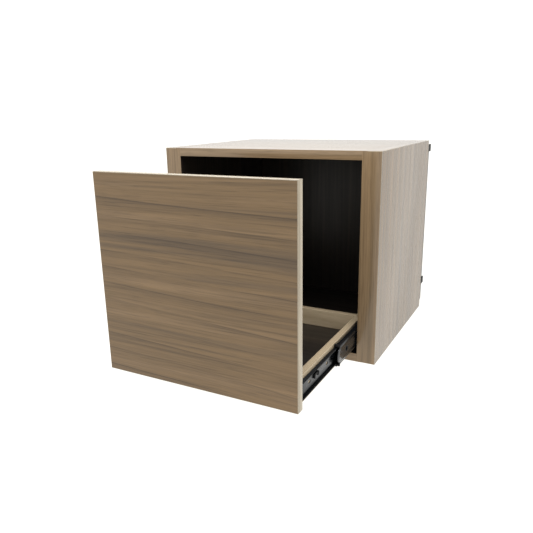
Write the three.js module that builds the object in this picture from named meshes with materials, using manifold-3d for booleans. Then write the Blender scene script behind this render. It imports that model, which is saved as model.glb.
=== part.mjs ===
// File box with one drawer that runs on a pair of telescopic ball slides.
// The case hangs from a wall system by two steel brackets with hooks, or stands on its base.
// Units are millimetres. +X is to the right, +Y is towards the back, +Z is up.
// The origin is the centre of the case's bottom face.

import * as THREE from "three";
import { mergeVertices } from "three/addons/utils/BufferGeometryUtils.js";
import Module from "manifold-3d";

const wasm = await Module();
wasm.setup();

// Case, made of laminated board. Each side is a thick outer panel with a thin liner glued inside it.
const CASE_WIDTH = 450;
const CASE_DEPTH = 362;
const CASE_HEIGHT = 390;
const SIDE_PANEL_THICKNESS = 25;
const LINER_THICKNESS = 10;
const DECK_THICKNESS = 16;
const BACK_PANEL_THICKNESS = 6;
const BACK_PANEL_INSET = 10;
const GROOVE_DEPTH = 6;
const WOOD_FIT = 0.3;

// Dowels that pin the decks to the sides
const DOWEL_DIAMETER = 8;
const DOWEL_IN_DECK = 22;
const DOWEL_IN_SIDE = 12;
const DOWEL_END_INSET = 60;

// Hanging brackets on the back edges of the case
const BRACKET_STEEL = 2;
const BRACKET_FLANGE = 26;
const BRACKET_WEB = 16;
const BRACKET_TOP_INSET = 9;
const BRACKET_BOTTOM_INSET = 14;
const BRACKET_SCREW_INSET = 45;
const HOOK_STEEL = 2;
const HOOK_NOSE = 4.3;
const HOOK_HEIGHT = 16;
const HOOK_SLOT_WIDTH = 3.2;
const HOOK_SLOT_DEPTH = 9;
const HOOK_CORNER = 2;
const HOOK_STUD_DIAMETER = 3.6;
const HOOK_STUD_INSET = 4;
const LOWER_HOOK_BOTTOM = 54;

// Drawer front and box
const FRONT_THICKNESS = 16;
const FRONT_SIDE_GAP = 6;
const FRONT_TOP_GAP = 6;
const FRONT_BOTTOM_GAP = 2;
const BOX_REAR_GAP = 20;
const BOX_SIDE_THICKNESS = 12;
const BOX_SIDE_HEIGHT = 46;
const BOX_FLOOR_GAP = 6;
const BOX_BACK_INSET = 6;
const BOX_BOTTOM_THICKNESS = 6;
const BOX_BOTTOM_RISE = 6;
const DADO_DEPTH = 4;
const FRONT_SCREW_INSET = 60;

// Telescopic slides, each with a cabinet, an intermediate and a drawer member of rolled steel
const SLIDE_SPACE = 12.7;
const SLIDE_SETBACK = 2;
const SLIDE_REAR_GAP = 28;
const SLIDE_RISE = 30.5;
const SLIDE_STEEL = 1.2;
const TRAVEL_DIFFERENCE = 8;
const INTERMEDIATE_TRAVEL_LEFT = 34;
const DRAWER_TRAVEL_LEFT = 16;
const BALL_DIAMETER = 3.2;
const RACE_GAP = 0.3;
const OUTER_BALL_RISE = 19.6;
const INNER_BALL_RISE = 16;
const INNER_BALL_OUT = 4.6;
const INTERMEDIATE_WEB_OUT = 9.6;
const BEND_RADIUS = 1.2;
const NOSE_LENGTH = 10.5;
const NOSE_HEIGHT = 26;

// Holes and stops in the slide members. Insets are measured from the named end of a member.
const CABINET_SCREW_FRONT_INSET = 38;
const CABINET_SCREW_REAR_INSET = 50;
const CABINET_SLOT_SHARES = [0.27, 0.49, 0.7];
const INTERMEDIATE_HOLE_SHARES = [0.15, 0.33, 0.51, 0.69, 0.9];
const DRAWER_SCREW_REAR_INSET = 110;
const DRAWER_SCREW_LUG_GAP = 12.5;
const DRAWER_SLOT_FRONT_INSETS = [36, 110];
const SLOT_LENGTH = 9;
const SLOT_HEIGHT = 5;
const ACCESS_HOLE_DIAMETER = 9;
const STOP_LUG_HEIGHT = 8;
const STOP_LUG_LENGTH = 2;
const STOP_LUG_GAP = 0.5;

// Ball cages
const CAGE_LENGTH_SHARE = 1 / 3;
const CAGE_STEEL = 0.6;
const CAGE_BALL_PITCH = 16;
const CAGE_BALL_INSET = 10;
const CAGE_WINDOW_HEIGHT = 20;
const CAGE_BRIDGE = 9;
const CAGE_BEND_RADIUS = 0.8;
const CAGE_LEG_DROP = 0.4;
const CAGE_LEG_INSET = 0.6;
const INNER_CAGE_WEB_OUT = 8.2;
const INNER_CAGE_PLACE = 28;
const OUTER_CAGE_PLACE = 23;

// Plastic stop on the front end of the intermediate member
const BUMPER_THICKNESS = 4;
const BUMPER_HEIGHT = 41;
const BUMPER_STEP_HEIGHT = 38.4;
const BUMPER_STEP_OUT = 6.5;
const BUMPER_BOX_GAP = 0.8;
const BUMPER_RAIL_GAP = 0.5;

// Release lever, which swings on a rivet in the drawer member
const LEVER_PLACE = 67;
const LEVER_RISE = 2;
const LEVER_THICKNESS = 2.6;
const LEVER_EYE_RADIUS = 4;
const LEVER_ARM = 15;
const LEVER_ARM_HEIGHT = 3.2;
const LEVER_CORNER = 1.6;
const LEVER_FINGER = 8.5;
const LEVER_FINGER_WIDTH = 3.6;
const LEVER_GAP = 0.3;
const RIVET_DIAMETER = 3;
const RIVET_HEAD_DIAMETER = 5.2;
const RIVET_HEAD_HEIGHT = 0.8;
const RIVET_TAIL_GAP = 0.2;

// Screws
const SCREW_FIT = 0.3;
const SCREW_DIAMETER = 4;
const SCREW_HEAD_DIAMETER = 7.6;
const COUNTERSINK_DEPTH = 1.9;
const COUNTERSINK_RIM = 0.3;
const PAN_HEAD_HEIGHT = 1.8;
const CABINET_SCREW_LENGTH = 16;
const BOX_SCREW_LENGTH = 11;
const FRONT_SCREW_LENGTH = 24;
const BRACKET_SCREW_LENGTH = 22;

// How far cutters run past what they cut, and how fine the round shapes are
const CUT_OVERRUN = 1;
const ROUND_SIDES = 12;
const BALL_SIDES = 8;
const BALL_RINGS = 4;
const CURVE_STEPS = 5;
const ARC_STEP = Math.PI / 11;

// Angles, seen along the slide, where the rolled races start and end around their balls
const CABINET_LIP_ANGLE = (Math.PI * 140) / 180;
const INTERMEDIATE_LIP_ANGLE = (Math.PI * 190) / 180;
const DRAWER_LIP_ANGLE = (Math.PI * 320) / 180;
const DRAWER_RACE_ANGLE = (Math.PI * 235) / 180;

// Sizes that follow from the ones above
const OPENING_WIDTH = CASE_WIDTH - 2 * (SIDE_PANEL_THICKNESS + LINER_THICKNESS);
const OPENING_HEIGHT = CASE_HEIGHT - 2 * DECK_THICKNESS;
const CASE_FRONT_Y = -CASE_DEPTH / 2;
const CASE_BACK_Y = CASE_DEPTH / 2;
const BACK_PANEL_Y = CASE_BACK_Y - BACK_PANEL_INSET - BACK_PANEL_THICKNESS / 2;
const FRONT_WIDTH = OPENING_WIDTH - 2 * FRONT_SIDE_GAP;
const FRONT_HEIGHT = OPENING_HEIGHT - FRONT_TOP_GAP - FRONT_BOTTOM_GAP;
const BOX_WIDTH = OPENING_WIDTH - 2 * SLIDE_SPACE;
const BOX_INSIDE_WIDTH = BOX_WIDTH - 2 * BOX_SIDE_THICKNESS;
const BOX_BOTTOM_Z = DECK_THICKNESS + BOX_FLOOR_GAP;
const SLIDE_Z = DECK_THICKNESS + SLIDE_RISE;
const SLIDE_FRONT = FRONT_THICKNESS + SLIDE_SETBACK;
const INSIDE_DEPTH = CASE_DEPTH - BACK_PANEL_INSET - BACK_PANEL_THICKNESS;
const BOX_DEPTH = INSIDE_DEPTH - FRONT_THICKNESS - BOX_REAR_GAP;
const SLIDE_LENGTH = INSIDE_DEPTH - SLIDE_FRONT - SLIDE_REAR_GAP;
const DRAWER_EXTENSION = SLIDE_LENGTH - INTERMEDIATE_TRAVEL_LEFT - DRAWER_TRAVEL_LEFT;
const INTERMEDIATE_EXTENSION = (SLIDE_LENGTH - TRAVEL_DIFFERENCE) / 2 - INTERMEDIATE_TRAVEL_LEFT;
const CABINET_SCREW_PLACES = [CABINET_SCREW_FRONT_INSET, SLIDE_LENGTH - CABINET_SCREW_REAR_INSET];
const BALL_RADIUS = BALL_DIAMETER / 2;
const RACE_RADIUS = BALL_RADIUS + RACE_GAP;
const RACE_MIDLINE = RACE_RADIUS + SLIDE_STEEL / 2;
const CABINET_WEB_IN = SLIDE_SPACE - SLIDE_STEEL;
const OUTER_BALL_OUT = CABINET_WEB_IN - RACE_RADIUS;
const INNER_BALL = [INNER_BALL_OUT, INNER_BALL_RISE];
const OUTER_BALL = [OUTER_BALL_OUT, OUTER_BALL_RISE];
const OUTER_CAGE_WEB_OUT = (INTERMEDIATE_WEB_OUT + SLIDE_STEEL / 2 + CABINET_WEB_IN) / 2;
const CAGE_LENGTH = SLIDE_LENGTH * CAGE_LENGTH_SHARE;
const CAGE_WINDOW_LENGTH = (CAGE_LENGTH - 3 * CAGE_BRIDGE) / 2;

// Each cage moves half as far as the member that rolls on it, and stops a little short of a lug.
// The second screw of the drawer member sits ahead of the lug.
const INNER_LUG_PLACE =
  INNER_CAGE_PLACE +
  CAGE_LENGTH +
  DRAWER_EXTENSION -
  INTERMEDIATE_EXTENSION +
  DRAWER_TRAVEL_LEFT / 2 +
  STOP_LUG_GAP;
const OUTER_LUG_PLACE =
  OUTER_CAGE_PLACE + CAGE_LENGTH + INTERMEDIATE_EXTENSION + INTERMEDIATE_TRAVEL_LEFT / 2 + STOP_LUG_GAP;
const DRAWER_SCREW_PLACES = [
  SLIDE_LENGTH - DRAWER_SCREW_REAR_INSET,
  INNER_LUG_PLACE - DRAWER_SCREW_LUG_GAP,
];

// Finishes

const finish = (colour, roughness, metalness) =>
  new THREE.MeshStandardMaterial({ color: colour, roughness, metalness });

const laminate = finish(0xa3917c, 0.55, 0);
const blackLaminate = finish(0x1d1b19, 0.45, 0);
const plywood = finish(0xd9c6a4, 0.6, 0);
const dowelWood = finish(0xd2b48c, 0.7, 0);
const blackSteel = finish(0x2c2e32, 0.35, 0.9);
const greySteel = finish(0x7c7e80, 0.45, 0.9);
const zinc = finish(0xb8bbbf, 0.35, 1);
const blackPlastic = finish(0x141415, 0.5, 0);

// Solids, cuts and joins

function solidOf(geometry) {
  const bare = geometry.clone();
  bare.deleteAttribute("normal");
  bare.deleteAttribute("uv");
  const merged = mergeVertices(bare);
  const triangles = [];
  for (let i = 0; i < merged.index.count; i += 3) {
    const [a, b, c] = [0, 1, 2].map((corner) => merged.index.getX(i + corner));
    if (a !== b && b !== c && c !== a) triangles.push(a, b, c);
  }
  const mesh = new wasm.Mesh({
    numProp: 3,
    vertProperties: new Float32Array(merged.attributes.position.array),
    triVerts: new Uint32Array(triangles),
  });
  return new wasm.Manifold(mesh);
}

function geometryOf(solid) {
  const mesh = solid.getMesh();
  const geometry = new THREE.BufferGeometry();
  geometry.setAttribute("position", new THREE.BufferAttribute(new Float32Array(mesh.vertProperties), 3));
  geometry.setIndex(new THREE.BufferAttribute(new Uint32Array(mesh.triVerts), 1));
  geometry.computeVertexNormals();
  return geometry;
}

const cut = (geometry, tools) =>
  geometryOf(tools.reduce((solid, tool) => solid.subtract(solidOf(tool)), solidOf(geometry)));

const join = (geometries) =>
  geometryOf(geometries.slice(1).reduce((solid, other) => solid.add(solidOf(other)), solidOf(geometries[0])));

// A box given by the places of its two faces along each axis
function block([x0, x1], [y0, y1], [z0, z1]) {
  const box = new THREE.BoxGeometry(Math.abs(x1 - x0), Math.abs(y1 - y0), Math.abs(z1 - z0));
  return box.translate((x0 + x1) / 2, (y0 + y1) / 2, (z0 + z1) / 2);
}

// A round rod along X, centred at a point
function rodX(radius, length, [x, y, z]) {
  const rod = new THREE.CylinderGeometry(radius, radius, length, ROUND_SIDES);
  return rod.rotateZ(Math.PI / 2).translate(x, y, z);
}

// A flat plate whose outline is drawn in Y and Z, between two places on X
function plateX(shape, x0, x1) {
  const options = { depth: Math.abs(x1 - x0), bevelEnabled: false, curveSegments: CURVE_STEPS };
  const plate = new THREE.ExtrudeGeometry(shape, options);
  return plate.rotateX(Math.PI / 2).rotateZ(Math.PI / 2).translate(Math.min(x0, x1), 0, 0);
}

const shapeOf = (points) => new THREE.Shape(points.map(([a, b]) => new THREE.Vector2(a, b)));

// A section drawn in X and Z, run along Y
function sectionY(points, y0, y1) {
  const bar = new THREE.ExtrudeGeometry(shapeOf(points), { depth: y1 - y0, bevelEnabled: false });
  return bar.rotateX(Math.PI / 2).translate(0, y1, 0);
}

// A section drawn in X and Y, run along Z
function sectionZ(points, z0, z1) {
  const bar = new THREE.ExtrudeGeometry(shapeOf(points), { depth: z1 - z0, bevelEnabled: false });
  return bar.translate(0, 0, z0);
}

// A long hole with round ends, cut along X
function slotX(x0, x1, y, z, length, height) {
  const run = (length - height) / 2;
  const shape = new THREE.Shape();
  shape.absarc(y + run, z, height / 2, -Math.PI / 2, Math.PI / 2, false);
  shape.absarc(y - run, z, height / 2, Math.PI / 2, (Math.PI * 3) / 2, false);
  return plateX(shape, x0, x1);
}

// A turned piece, its profile given as radius and height points on its own upright axis
const turned = (profile) =>
  new THREE.LatheGeometry(
    profile.map(([radius, height]) => new THREE.Vector2(radius, height)),
    ROUND_SIDES,
  );

// A countersunk screw with the face of its head at height zero. With a gap it is the cutter for its hole.
function countersunkScrew(length, gap = 0) {
  const shank = SCREW_DIAMETER / 2 + gap;
  const head = SCREW_HEAD_DIAMETER / 2 + gap;
  const face = gap > 0 ? CUT_OVERRUN : 0;
  return turned([
    [0, -length - gap],
    [shank, -length - gap],
    [shank, -COUNTERSINK_DEPTH - gap],
    [head, -COUNTERSINK_RIM - gap],
    [head, face],
    [0, face],
  ]);
}

// A pan-head screw with the underside of its head at height zero. With a gap it is the cutter for its hole.
function panScrew(length, gap = 0) {
  const shank = SCREW_DIAMETER / 2 + gap;
  const head = SCREW_HEAD_DIAMETER / 2 + gap;
  return turned([
    [0, -length - gap],
    [shank, -length - gap],
    [shank, -gap],
    [head, -gap],
    [head, PAN_HEAD_HEIGHT / 2],
    [head - PAN_HEAD_HEIGHT / 2, PAN_HEAD_HEIGHT + gap],
    [0, PAN_HEAD_HEIGHT + gap],
  ]);
}

// Turned pieces point along -Y. This aims one along +X or -X instead.
const aimX = (geometry, side) => geometry.rotateZ((side * Math.PI) / 2);

// Bent strip

// Points of an arc about a centre, from one angle to another
function arc([x, z], radius, from, to) {
  const steps = Math.max(2, Math.ceil(Math.abs(to - from) / ARC_STEP));
  return Array.from({ length: steps + 1 }, (_, i) => {
    const angle = from + ((to - from) * i) / steps;
    return [x + radius * Math.cos(angle), z + radius * Math.sin(angle)];
  });
}

// Points of the bend that rounds the corner between two straight runs
function bend(before, corner, after, radius) {
  const towards = ([x, z]) => new THREE.Vector2(x - corner[0], z - corner[1]).normalize();
  const back = towards(before);
  const on = towards(after);
  const halfAngle = Math.acos(back.dot(on)) / 2;
  const middle = back.clone().add(on).setLength(radius / Math.sin(halfAngle));
  const run = radius / Math.tan(halfAngle);
  const angleOf = (direction) =>
    Math.atan2(direction.y * run - middle.y, direction.x * run - middle.x);
  const start = angleOf(back);
  const turn = angleOf(on) - start;
  const sweep = Math.atan2(Math.sin(turn), Math.cos(turn));
  return arc([corner[0] + middle.x, corner[1] + middle.y], radius, start, start + sweep);
}

// The outline of a bent strip. The centre line of its upper half is mirrored below, then given its thickness.
function stripOutline(upperHalf, thickness) {
  const line = [...upperHalf, ...upperHalf.map(([x, z]) => [x, -z]).reverse()];
  const face = (sign) =>
    line.map(([x, z], i) => {
      const [xa, za] = line[Math.max(0, i - 1)];
      const [xb, zb] = line[Math.min(line.length - 1, i + 1)];
      const reach = (sign * thickness) / 2 / Math.hypot(xb - xa, zb - za);
      return [x - reach * (zb - za), z + reach * (xb - xa)];
    });
  return [...face(1), ...face(-1).reverse()];
}

const mirrored = (points, side) => points.map(([x, z]) => [side * x, z]);

const reachOf = (points, axis) => Math.max(...points.map((point) => Math.abs(point[axis])));

// Pieces

const SIDES = [
  ["left", -1],
  ["right", 1],
];

function group(parent, x, y, z) {
  const child = new THREE.Group();
  child.position.set(x, y, z);
  parent.add(child);
  return child;
}

function piece(parent, name, geometry, material, place = [0, 0, 0]) {
  const mesh = new THREE.Mesh(geometry, material.clone());
  mesh.name = name;
  mesh.position.set(...place);
  parent.add(mesh);
}

// A board of a given size centred at a place, less cutters that are placed in its parent's frame
function board(parent, name, size, place, material, cutters = []) {
  const blank = new THREE.BoxGeometry(...size);
  const tools = cutters.map((cutter) => cutter.translate(-place[0], -place[1], -place[2]));
  piece(parent, name, tools.length > 0 ? cut(blank, tools) : blank, material, place);
}

const part = new THREE.Group();

// Case boards and dowels

const caseGroup = group(part, 0, 0, 0);
const openingHalf = OPENING_WIDTH / 2;
const linerMid = openingHalf + LINER_THICKNESS / 2;
const sidePanelMid = openingHalf + LINER_THICKNESS + SIDE_PANEL_THICKNESS / 2;
const deckLevels = [
  ["bottom", DECK_THICKNESS / 2],
  ["top", CASE_HEIGHT - DECK_THICKNESS / 2],
];
const dowelRows = [
  ["front", CASE_FRONT_Y + DOWEL_END_INSET],
  ["rear", CASE_BACK_Y - DOWEL_END_INSET],
];
const dowelMid = openingHalf + (LINER_THICKNESS + DOWEL_IN_SIDE - DOWEL_IN_DECK) / 2;
const dowelHoleLength = DOWEL_IN_DECK + LINER_THICKNESS + DOWEL_IN_SIDE;

const backGroove = () =>
  block(
    [-openingHalf - GROOVE_DEPTH, openingHalf + GROOVE_DEPTH],
    [BACK_PANEL_Y - BACK_PANEL_THICKNESS / 2 - WOOD_FIT, BACK_PANEL_Y + BACK_PANEL_THICKNESS / 2 + WOOD_FIT],
    [DECK_THICKNESS - GROOVE_DEPTH, CASE_HEIGHT - DECK_THICKNESS + GROOVE_DEPTH],
  );

const dowelHoles = (side) =>
  deckLevels.flatMap(([, z]) =>
    dowelRows.map(([, y]) => rodX(DOWEL_DIAMETER / 2 + WOOD_FIT, dowelHoleLength, [side * dowelMid, y, z])),
  );

const cabinetScrewPlaces = (side) =>
  CABINET_SCREW_PLACES.map((place) => [
    side * (openingHalf - SLIDE_STEEL),
    CASE_FRONT_Y + SLIDE_FRONT + place,
    SLIDE_Z,
  ]);
const cabinetScrewHoles = (side) =>
  cabinetScrewPlaces(side).map((place) =>
    aimX(countersunkScrew(CABINET_SCREW_LENGTH, SCREW_FIT), side).translate(...place),
  );

const bracketLow = BRACKET_BOTTOM_INSET;
const bracketHigh = CASE_HEIGHT - BRACKET_TOP_INSET;
const bracketScrewLevels = [
  ["lower", bracketLow + BRACKET_SCREW_INSET],
  ["upper", bracketHigh - BRACKET_SCREW_INSET],
];
const bracketScrewY = CASE_BACK_Y + BRACKET_STEEL + SCREW_FIT;
const bracketScrewHoles = (side) =>
  bracketScrewLevels.map(([, z]) =>
    panScrew(BRACKET_SCREW_LENGTH, SCREW_FIT).translate(side * sidePanelMid, bracketScrewY, z),
  );

for (const [sideName, side] of SIDES) {
  board(
    caseGroup,
    `${sideName}_side_panel`,
    [SIDE_PANEL_THICKNESS, CASE_DEPTH, CASE_HEIGHT],
    [side * sidePanelMid, 0, CASE_HEIGHT / 2],
    laminate,
    [...dowelHoles(side), ...cabinetScrewHoles(side), ...bracketScrewHoles(side)],
  );
  board(
    caseGroup,
    `${sideName}_side_liner`,
    [LINER_THICKNESS, CASE_DEPTH, CASE_HEIGHT],
    [side * linerMid, 0, CASE_HEIGHT / 2],
    blackLaminate,
    [backGroove(), ...dowelHoles(side), ...cabinetScrewHoles(side)],
  );
}

for (const [levelName, level] of deckLevels) {
  board(
    caseGroup,
    `${levelName}_panel`,
    [OPENING_WIDTH, CASE_DEPTH, DECK_THICKNESS],
    [0, 0, level],
    laminate,
    [backGroove(), ...dowelHoles(-1), ...dowelHoles(1)],
  );
  for (const [sideName, side] of SIDES) {
    for (const [rowName, y] of dowelRows) {
      const dowel = rodX(DOWEL_DIAMETER / 2, dowelHoleLength - 2 * WOOD_FIT, [0, 0, 0]);
      const place = [side * dowelMid, y, level];
      piece(caseGroup, `${levelName}_${sideName}_${rowName}_dowel`, dowel, dowelWood, place);
    }
  }
}

const panelInGrooves = 2 * (GROOVE_DEPTH - WOOD_FIT);
board(
  caseGroup,
  "back_panel",
  [OPENING_WIDTH + panelInGrooves, BACK_PANEL_THICKNESS, OPENING_HEIGHT + panelInGrooves],
  [0, BACK_PANEL_Y, CASE_HEIGHT / 2],
  blackLaminate,
);

// Hanging brackets: a steel angle on each back edge, with an upper and a lower hook riveted outside its web

const hookLevels = [
  ["lower", LOWER_HOOK_BOTTOM],
  ["upper", bracketHigh - HOOK_HEIGHT],
];
const studRises = [HOOK_STUD_INSET, HOOK_HEIGHT - HOOK_STUD_INSET];
const studBack = (BRACKET_STEEL + BRACKET_WEB) / 2;

// The outline of a hook, from the case back to its nose, with the slot that drops into an upright
function hookShape() {
  const slotBack = BRACKET_WEB + HOOK_SLOT_WIDTH;
  const cornerBack = slotBack + HOOK_NOSE - HOOK_CORNER;
  const shape = new THREE.Shape();
  shape.moveTo(WOOD_FIT, 0);
  shape.lineTo(BRACKET_WEB, 0);
  shape.lineTo(BRACKET_WEB, HOOK_SLOT_DEPTH);
  shape.lineTo(slotBack, HOOK_SLOT_DEPTH);
  shape.lineTo(slotBack, 0);
  shape.absarc(cornerBack, HOOK_CORNER, HOOK_CORNER, -Math.PI / 2, 0, false);
  shape.absarc(cornerBack, HOOK_HEIGHT - HOOK_CORNER, HOOK_CORNER, 0, Math.PI / 2, false);
  shape.lineTo(WOOD_FIT, HOOK_HEIGHT);
  return shape;
}

for (const [sideName, side] of SIDES) {
  const bracket = group(caseGroup, side * (CASE_WIDTH / 2 - HOOK_STEEL), CASE_BACK_Y, 0);
  const angle = sectionZ(
    [
      [0, 0],
      [0, BRACKET_WEB],
      [-side * BRACKET_STEEL, BRACKET_WEB],
      [-side * BRACKET_STEEL, BRACKET_STEEL],
      [-side * BRACKET_FLANGE, BRACKET_STEEL],
      [-side * BRACKET_FLANGE, 0],
    ],
    bracketLow,
    bracketHigh,
  );
  const screwX = -side * (SIDE_PANEL_THICKNESS / 2 - HOOK_STEEL);
  const screwY = BRACKET_STEEL + SCREW_FIT;
  const screwHoles = bracketScrewLevels.map(([, z]) =>
    panScrew(BRACKET_SCREW_LENGTH, SCREW_FIT).translate(screwX, screwY, z),
  );
  const studHoles = hookLevels.flatMap(([, low]) =>
    studRises.map((rise) =>
      rodX(HOOK_STUD_DIAMETER / 2 + SCREW_FIT, BRACKET_STEEL + 2 * CUT_OVERRUN, [
        (-side * BRACKET_STEEL) / 2,
        studBack,
        low + rise,
      ]),
    ),
  );
  piece(bracket, `${sideName}_hanging_bracket`, cut(angle, [...screwHoles, ...studHoles]), greySteel);
  for (const [levelName, z] of bracketScrewLevels) {
    const screw = panScrew(BRACKET_SCREW_LENGTH);
    piece(bracket, `${sideName}_bracket_${levelName}_screw`, screw, zinc, [screwX, screwY, z]);
  }
  for (const [levelName, low] of hookLevels) {
    const plate = plateX(hookShape(), 0, side * HOOK_STEEL);
    const studLength = BRACKET_STEEL + HOOK_STEEL / 2;
    const studMid = side * (studLength / 2 - BRACKET_STEEL);
    const studs = studRises.map((rise) =>
      rodX(HOOK_STUD_DIAMETER / 2, studLength, [studMid, studBack, rise]),
    );
    piece(bracket, `${sideName}_${levelName}_hook`, join([plate, ...studs]), blackSteel, [0, 0, low]);
  }
}

// Slide members. Their sections are drawn outwards from the drawer's side and up from the slide's middle.

const cabinetSection = stripOutline(arc(OUTER_BALL, RACE_MIDLINE, CABINET_LIP_ANGLE, 0), SLIDE_STEEL);

// The intermediate member wraps over the inner balls, slopes down under the outer ones and turns into its web
function intermediateHalf() {
  const across = OUTER_BALL[0] - INNER_BALL[0];
  const rise = OUTER_BALL[1] - INNER_BALL[1];
  const tangent = Math.atan2(rise, across) + Math.acos((2 * RACE_MIDLINE) / Math.hypot(across, rise));
  const over = arc(INNER_BALL, RACE_MIDLINE, INTERMEDIATE_LIP_ANGLE, tangent);
  const leave = over[over.length - 1];
  const drop = (INTERMEDIATE_WEB_OUT - leave[0]) / Math.tan(tangent);
  const corner = [INTERMEDIATE_WEB_OUT, leave[1] - drop];
  return [...over, ...bend(leave, corner, [INTERMEDIATE_WEB_OUT, 0], BEND_RADIUS)];
}
const intermediateSection = stripOutline(intermediateHalf(), SLIDE_STEEL);

// The drawer member carries the inner balls in a groove rolled into the edge of its flange
function drawerHalf() {
  const webOut = SLIDE_STEEL / 2;
  const groove = arc(INNER_BALL, RACE_MIDLINE, DRAWER_LIP_ANGLE, DRAWER_RACE_ANGLE);
  const leave = groove[groove.length - 1];
  const climb = (leave[0] - webOut) / Math.tan(DRAWER_RACE_ANGLE);
  const corner = [webOut, leave[1] + climb];
  return [...groove, ...bend(leave, corner, [webOut, 0], BEND_RADIUS)];
}
const drawerSection = stripOutline(drawerHalf(), SLIDE_STEEL);

const cageWindowPlaces = [
  CAGE_BRIDGE + CAGE_WINDOW_LENGTH / 2,
  CAGE_LENGTH - CAGE_BRIDGE - CAGE_WINDOW_LENGTH / 2,
];
const cageBallCount = 1 + Math.floor((CAGE_LENGTH - 2 * CAGE_BALL_INSET) / CAGE_BALL_PITCH);

// A cage: its strip with windows in the web, and a row of balls in its upper and lower edges
function cage(strip, webOut, [ballOut, ballRise], side) {
  const windows = cageWindowPlaces.map((place) =>
    block(
      [side * (webOut - CUT_OVERRUN), side * (webOut + CUT_OVERRUN)],
      [place - CAGE_WINDOW_LENGTH / 2, place + CAGE_WINDOW_LENGTH / 2],
      [-CAGE_WINDOW_HEIGHT / 2, CAGE_WINDOW_HEIGHT / 2],
    ),
  );
  const balls = [];
  for (let i = 0; i < cageBallCount; i += 1) {
    for (const rise of [ballRise, -ballRise]) {
      const ball = new THREE.SphereGeometry(BALL_RADIUS, BALL_SIDES, BALL_RINGS);
      balls.push(ball.translate(side * ballOut, CAGE_BALL_INSET + i * CAGE_BALL_PITCH, rise));
    }
  }
  return join([cut(strip, windows), ...balls]);
}

function innerCageHalf() {
  const rise = INNER_BALL_RISE - CAGE_LEG_DROP;
  const legEnd = [INNER_BALL_OUT + CAGE_LEG_INSET, rise];
  return [legEnd, ...bend(legEnd, [INNER_CAGE_WEB_OUT, rise], [INNER_CAGE_WEB_OUT, 0], CAGE_BEND_RADIUS)];
}
const innerCageSection = stripOutline(innerCageHalf(), CAGE_STEEL);
const outerCageSection = [
  [OUTER_CAGE_WEB_OUT - CAGE_STEEL / 2, -OUTER_BALL_RISE],
  [OUTER_CAGE_WEB_OUT + CAGE_STEEL / 2, -OUTER_BALL_RISE],
  [OUTER_CAGE_WEB_OUT + CAGE_STEEL / 2, OUTER_BALL_RISE],
  [OUTER_CAGE_WEB_OUT - CAGE_STEEL / 2, OUTER_BALL_RISE],
];

// A lug pressed out of a member's web, which stops a ball cage
const stopLug = (side, from, to, place) =>
  block(
    [side * from, side * to],
    [place, place + STOP_LUG_LENGTH],
    [-STOP_LUG_HEIGHT / 2, STOP_LUG_HEIGHT / 2],
  );

// The nose of the intermediate member, a tongue of its web with a rounded end
function nosePlate(side, gap) {
  const reach = NOSE_HEIGHT / 2 + gap;
  const shape = new THREE.Shape();
  shape.moveTo(2 * NOSE_LENGTH, -reach);
  shape.lineTo(2 * NOSE_LENGTH, reach);
  shape.absellipse(NOSE_LENGTH, 0, NOSE_LENGTH + gap, reach, Math.PI / 2, (Math.PI * 3) / 2, false, 0);
  const inner = INTERMEDIATE_WEB_OUT - SLIDE_STEEL / 2 - gap;
  const outer = gap > 0 ? SLIDE_SPACE : INTERMEDIATE_WEB_OUT + SLIDE_STEEL / 2;
  return plateX(shape, side * inner, side * outer);
}

// The bumper fills the end of the intermediate member and leaves the drawer member room to pass through
function bumper(side) {
  const high = BUMPER_HEIGHT / 2;
  const step = BUMPER_STEP_HEIGHT / 2;
  const outer = CABINET_WEB_IN - BUMPER_RAIL_GAP;
  const passHigh = reachOf(drawerSection, 1) + BUMPER_RAIL_GAP;
  const passOut = reachOf(drawerSection, 0) + BUMPER_RAIL_GAP;
  const upperHalf = [
    [passOut, passHigh],
    [BUMPER_BOX_GAP, passHigh],
    [BUMPER_BOX_GAP, high],
    [BUMPER_STEP_OUT, high],
    [BUMPER_STEP_OUT, step],
    [outer, step],
  ];
  const outline = [...upperHalf, ...upperHalf.map(([x, z]) => [x, -z]).reverse()];
  const bar = sectionY(mirrored(outline, side), NOSE_LENGTH - BUMPER_THICKNESS, NOSE_LENGTH);
  return cut(bar, [nosePlate(side, SCREW_FIT)]);
}

const webHole = (side, out, place, diameter, rise = 0) =>
  rodX(diameter / 2, SLIDE_STEEL + 2 * CUT_OVERRUN, [side * out, place, rise]);

const webSlot = (side, out, place) =>
  slotX(side * (out - SLIDE_STEEL), side * (out + SLIDE_STEEL), place, 0, SLOT_LENGTH, SLOT_HEIGHT);

const slideX = (side) => side * (BOX_WIDTH / 2);

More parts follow.
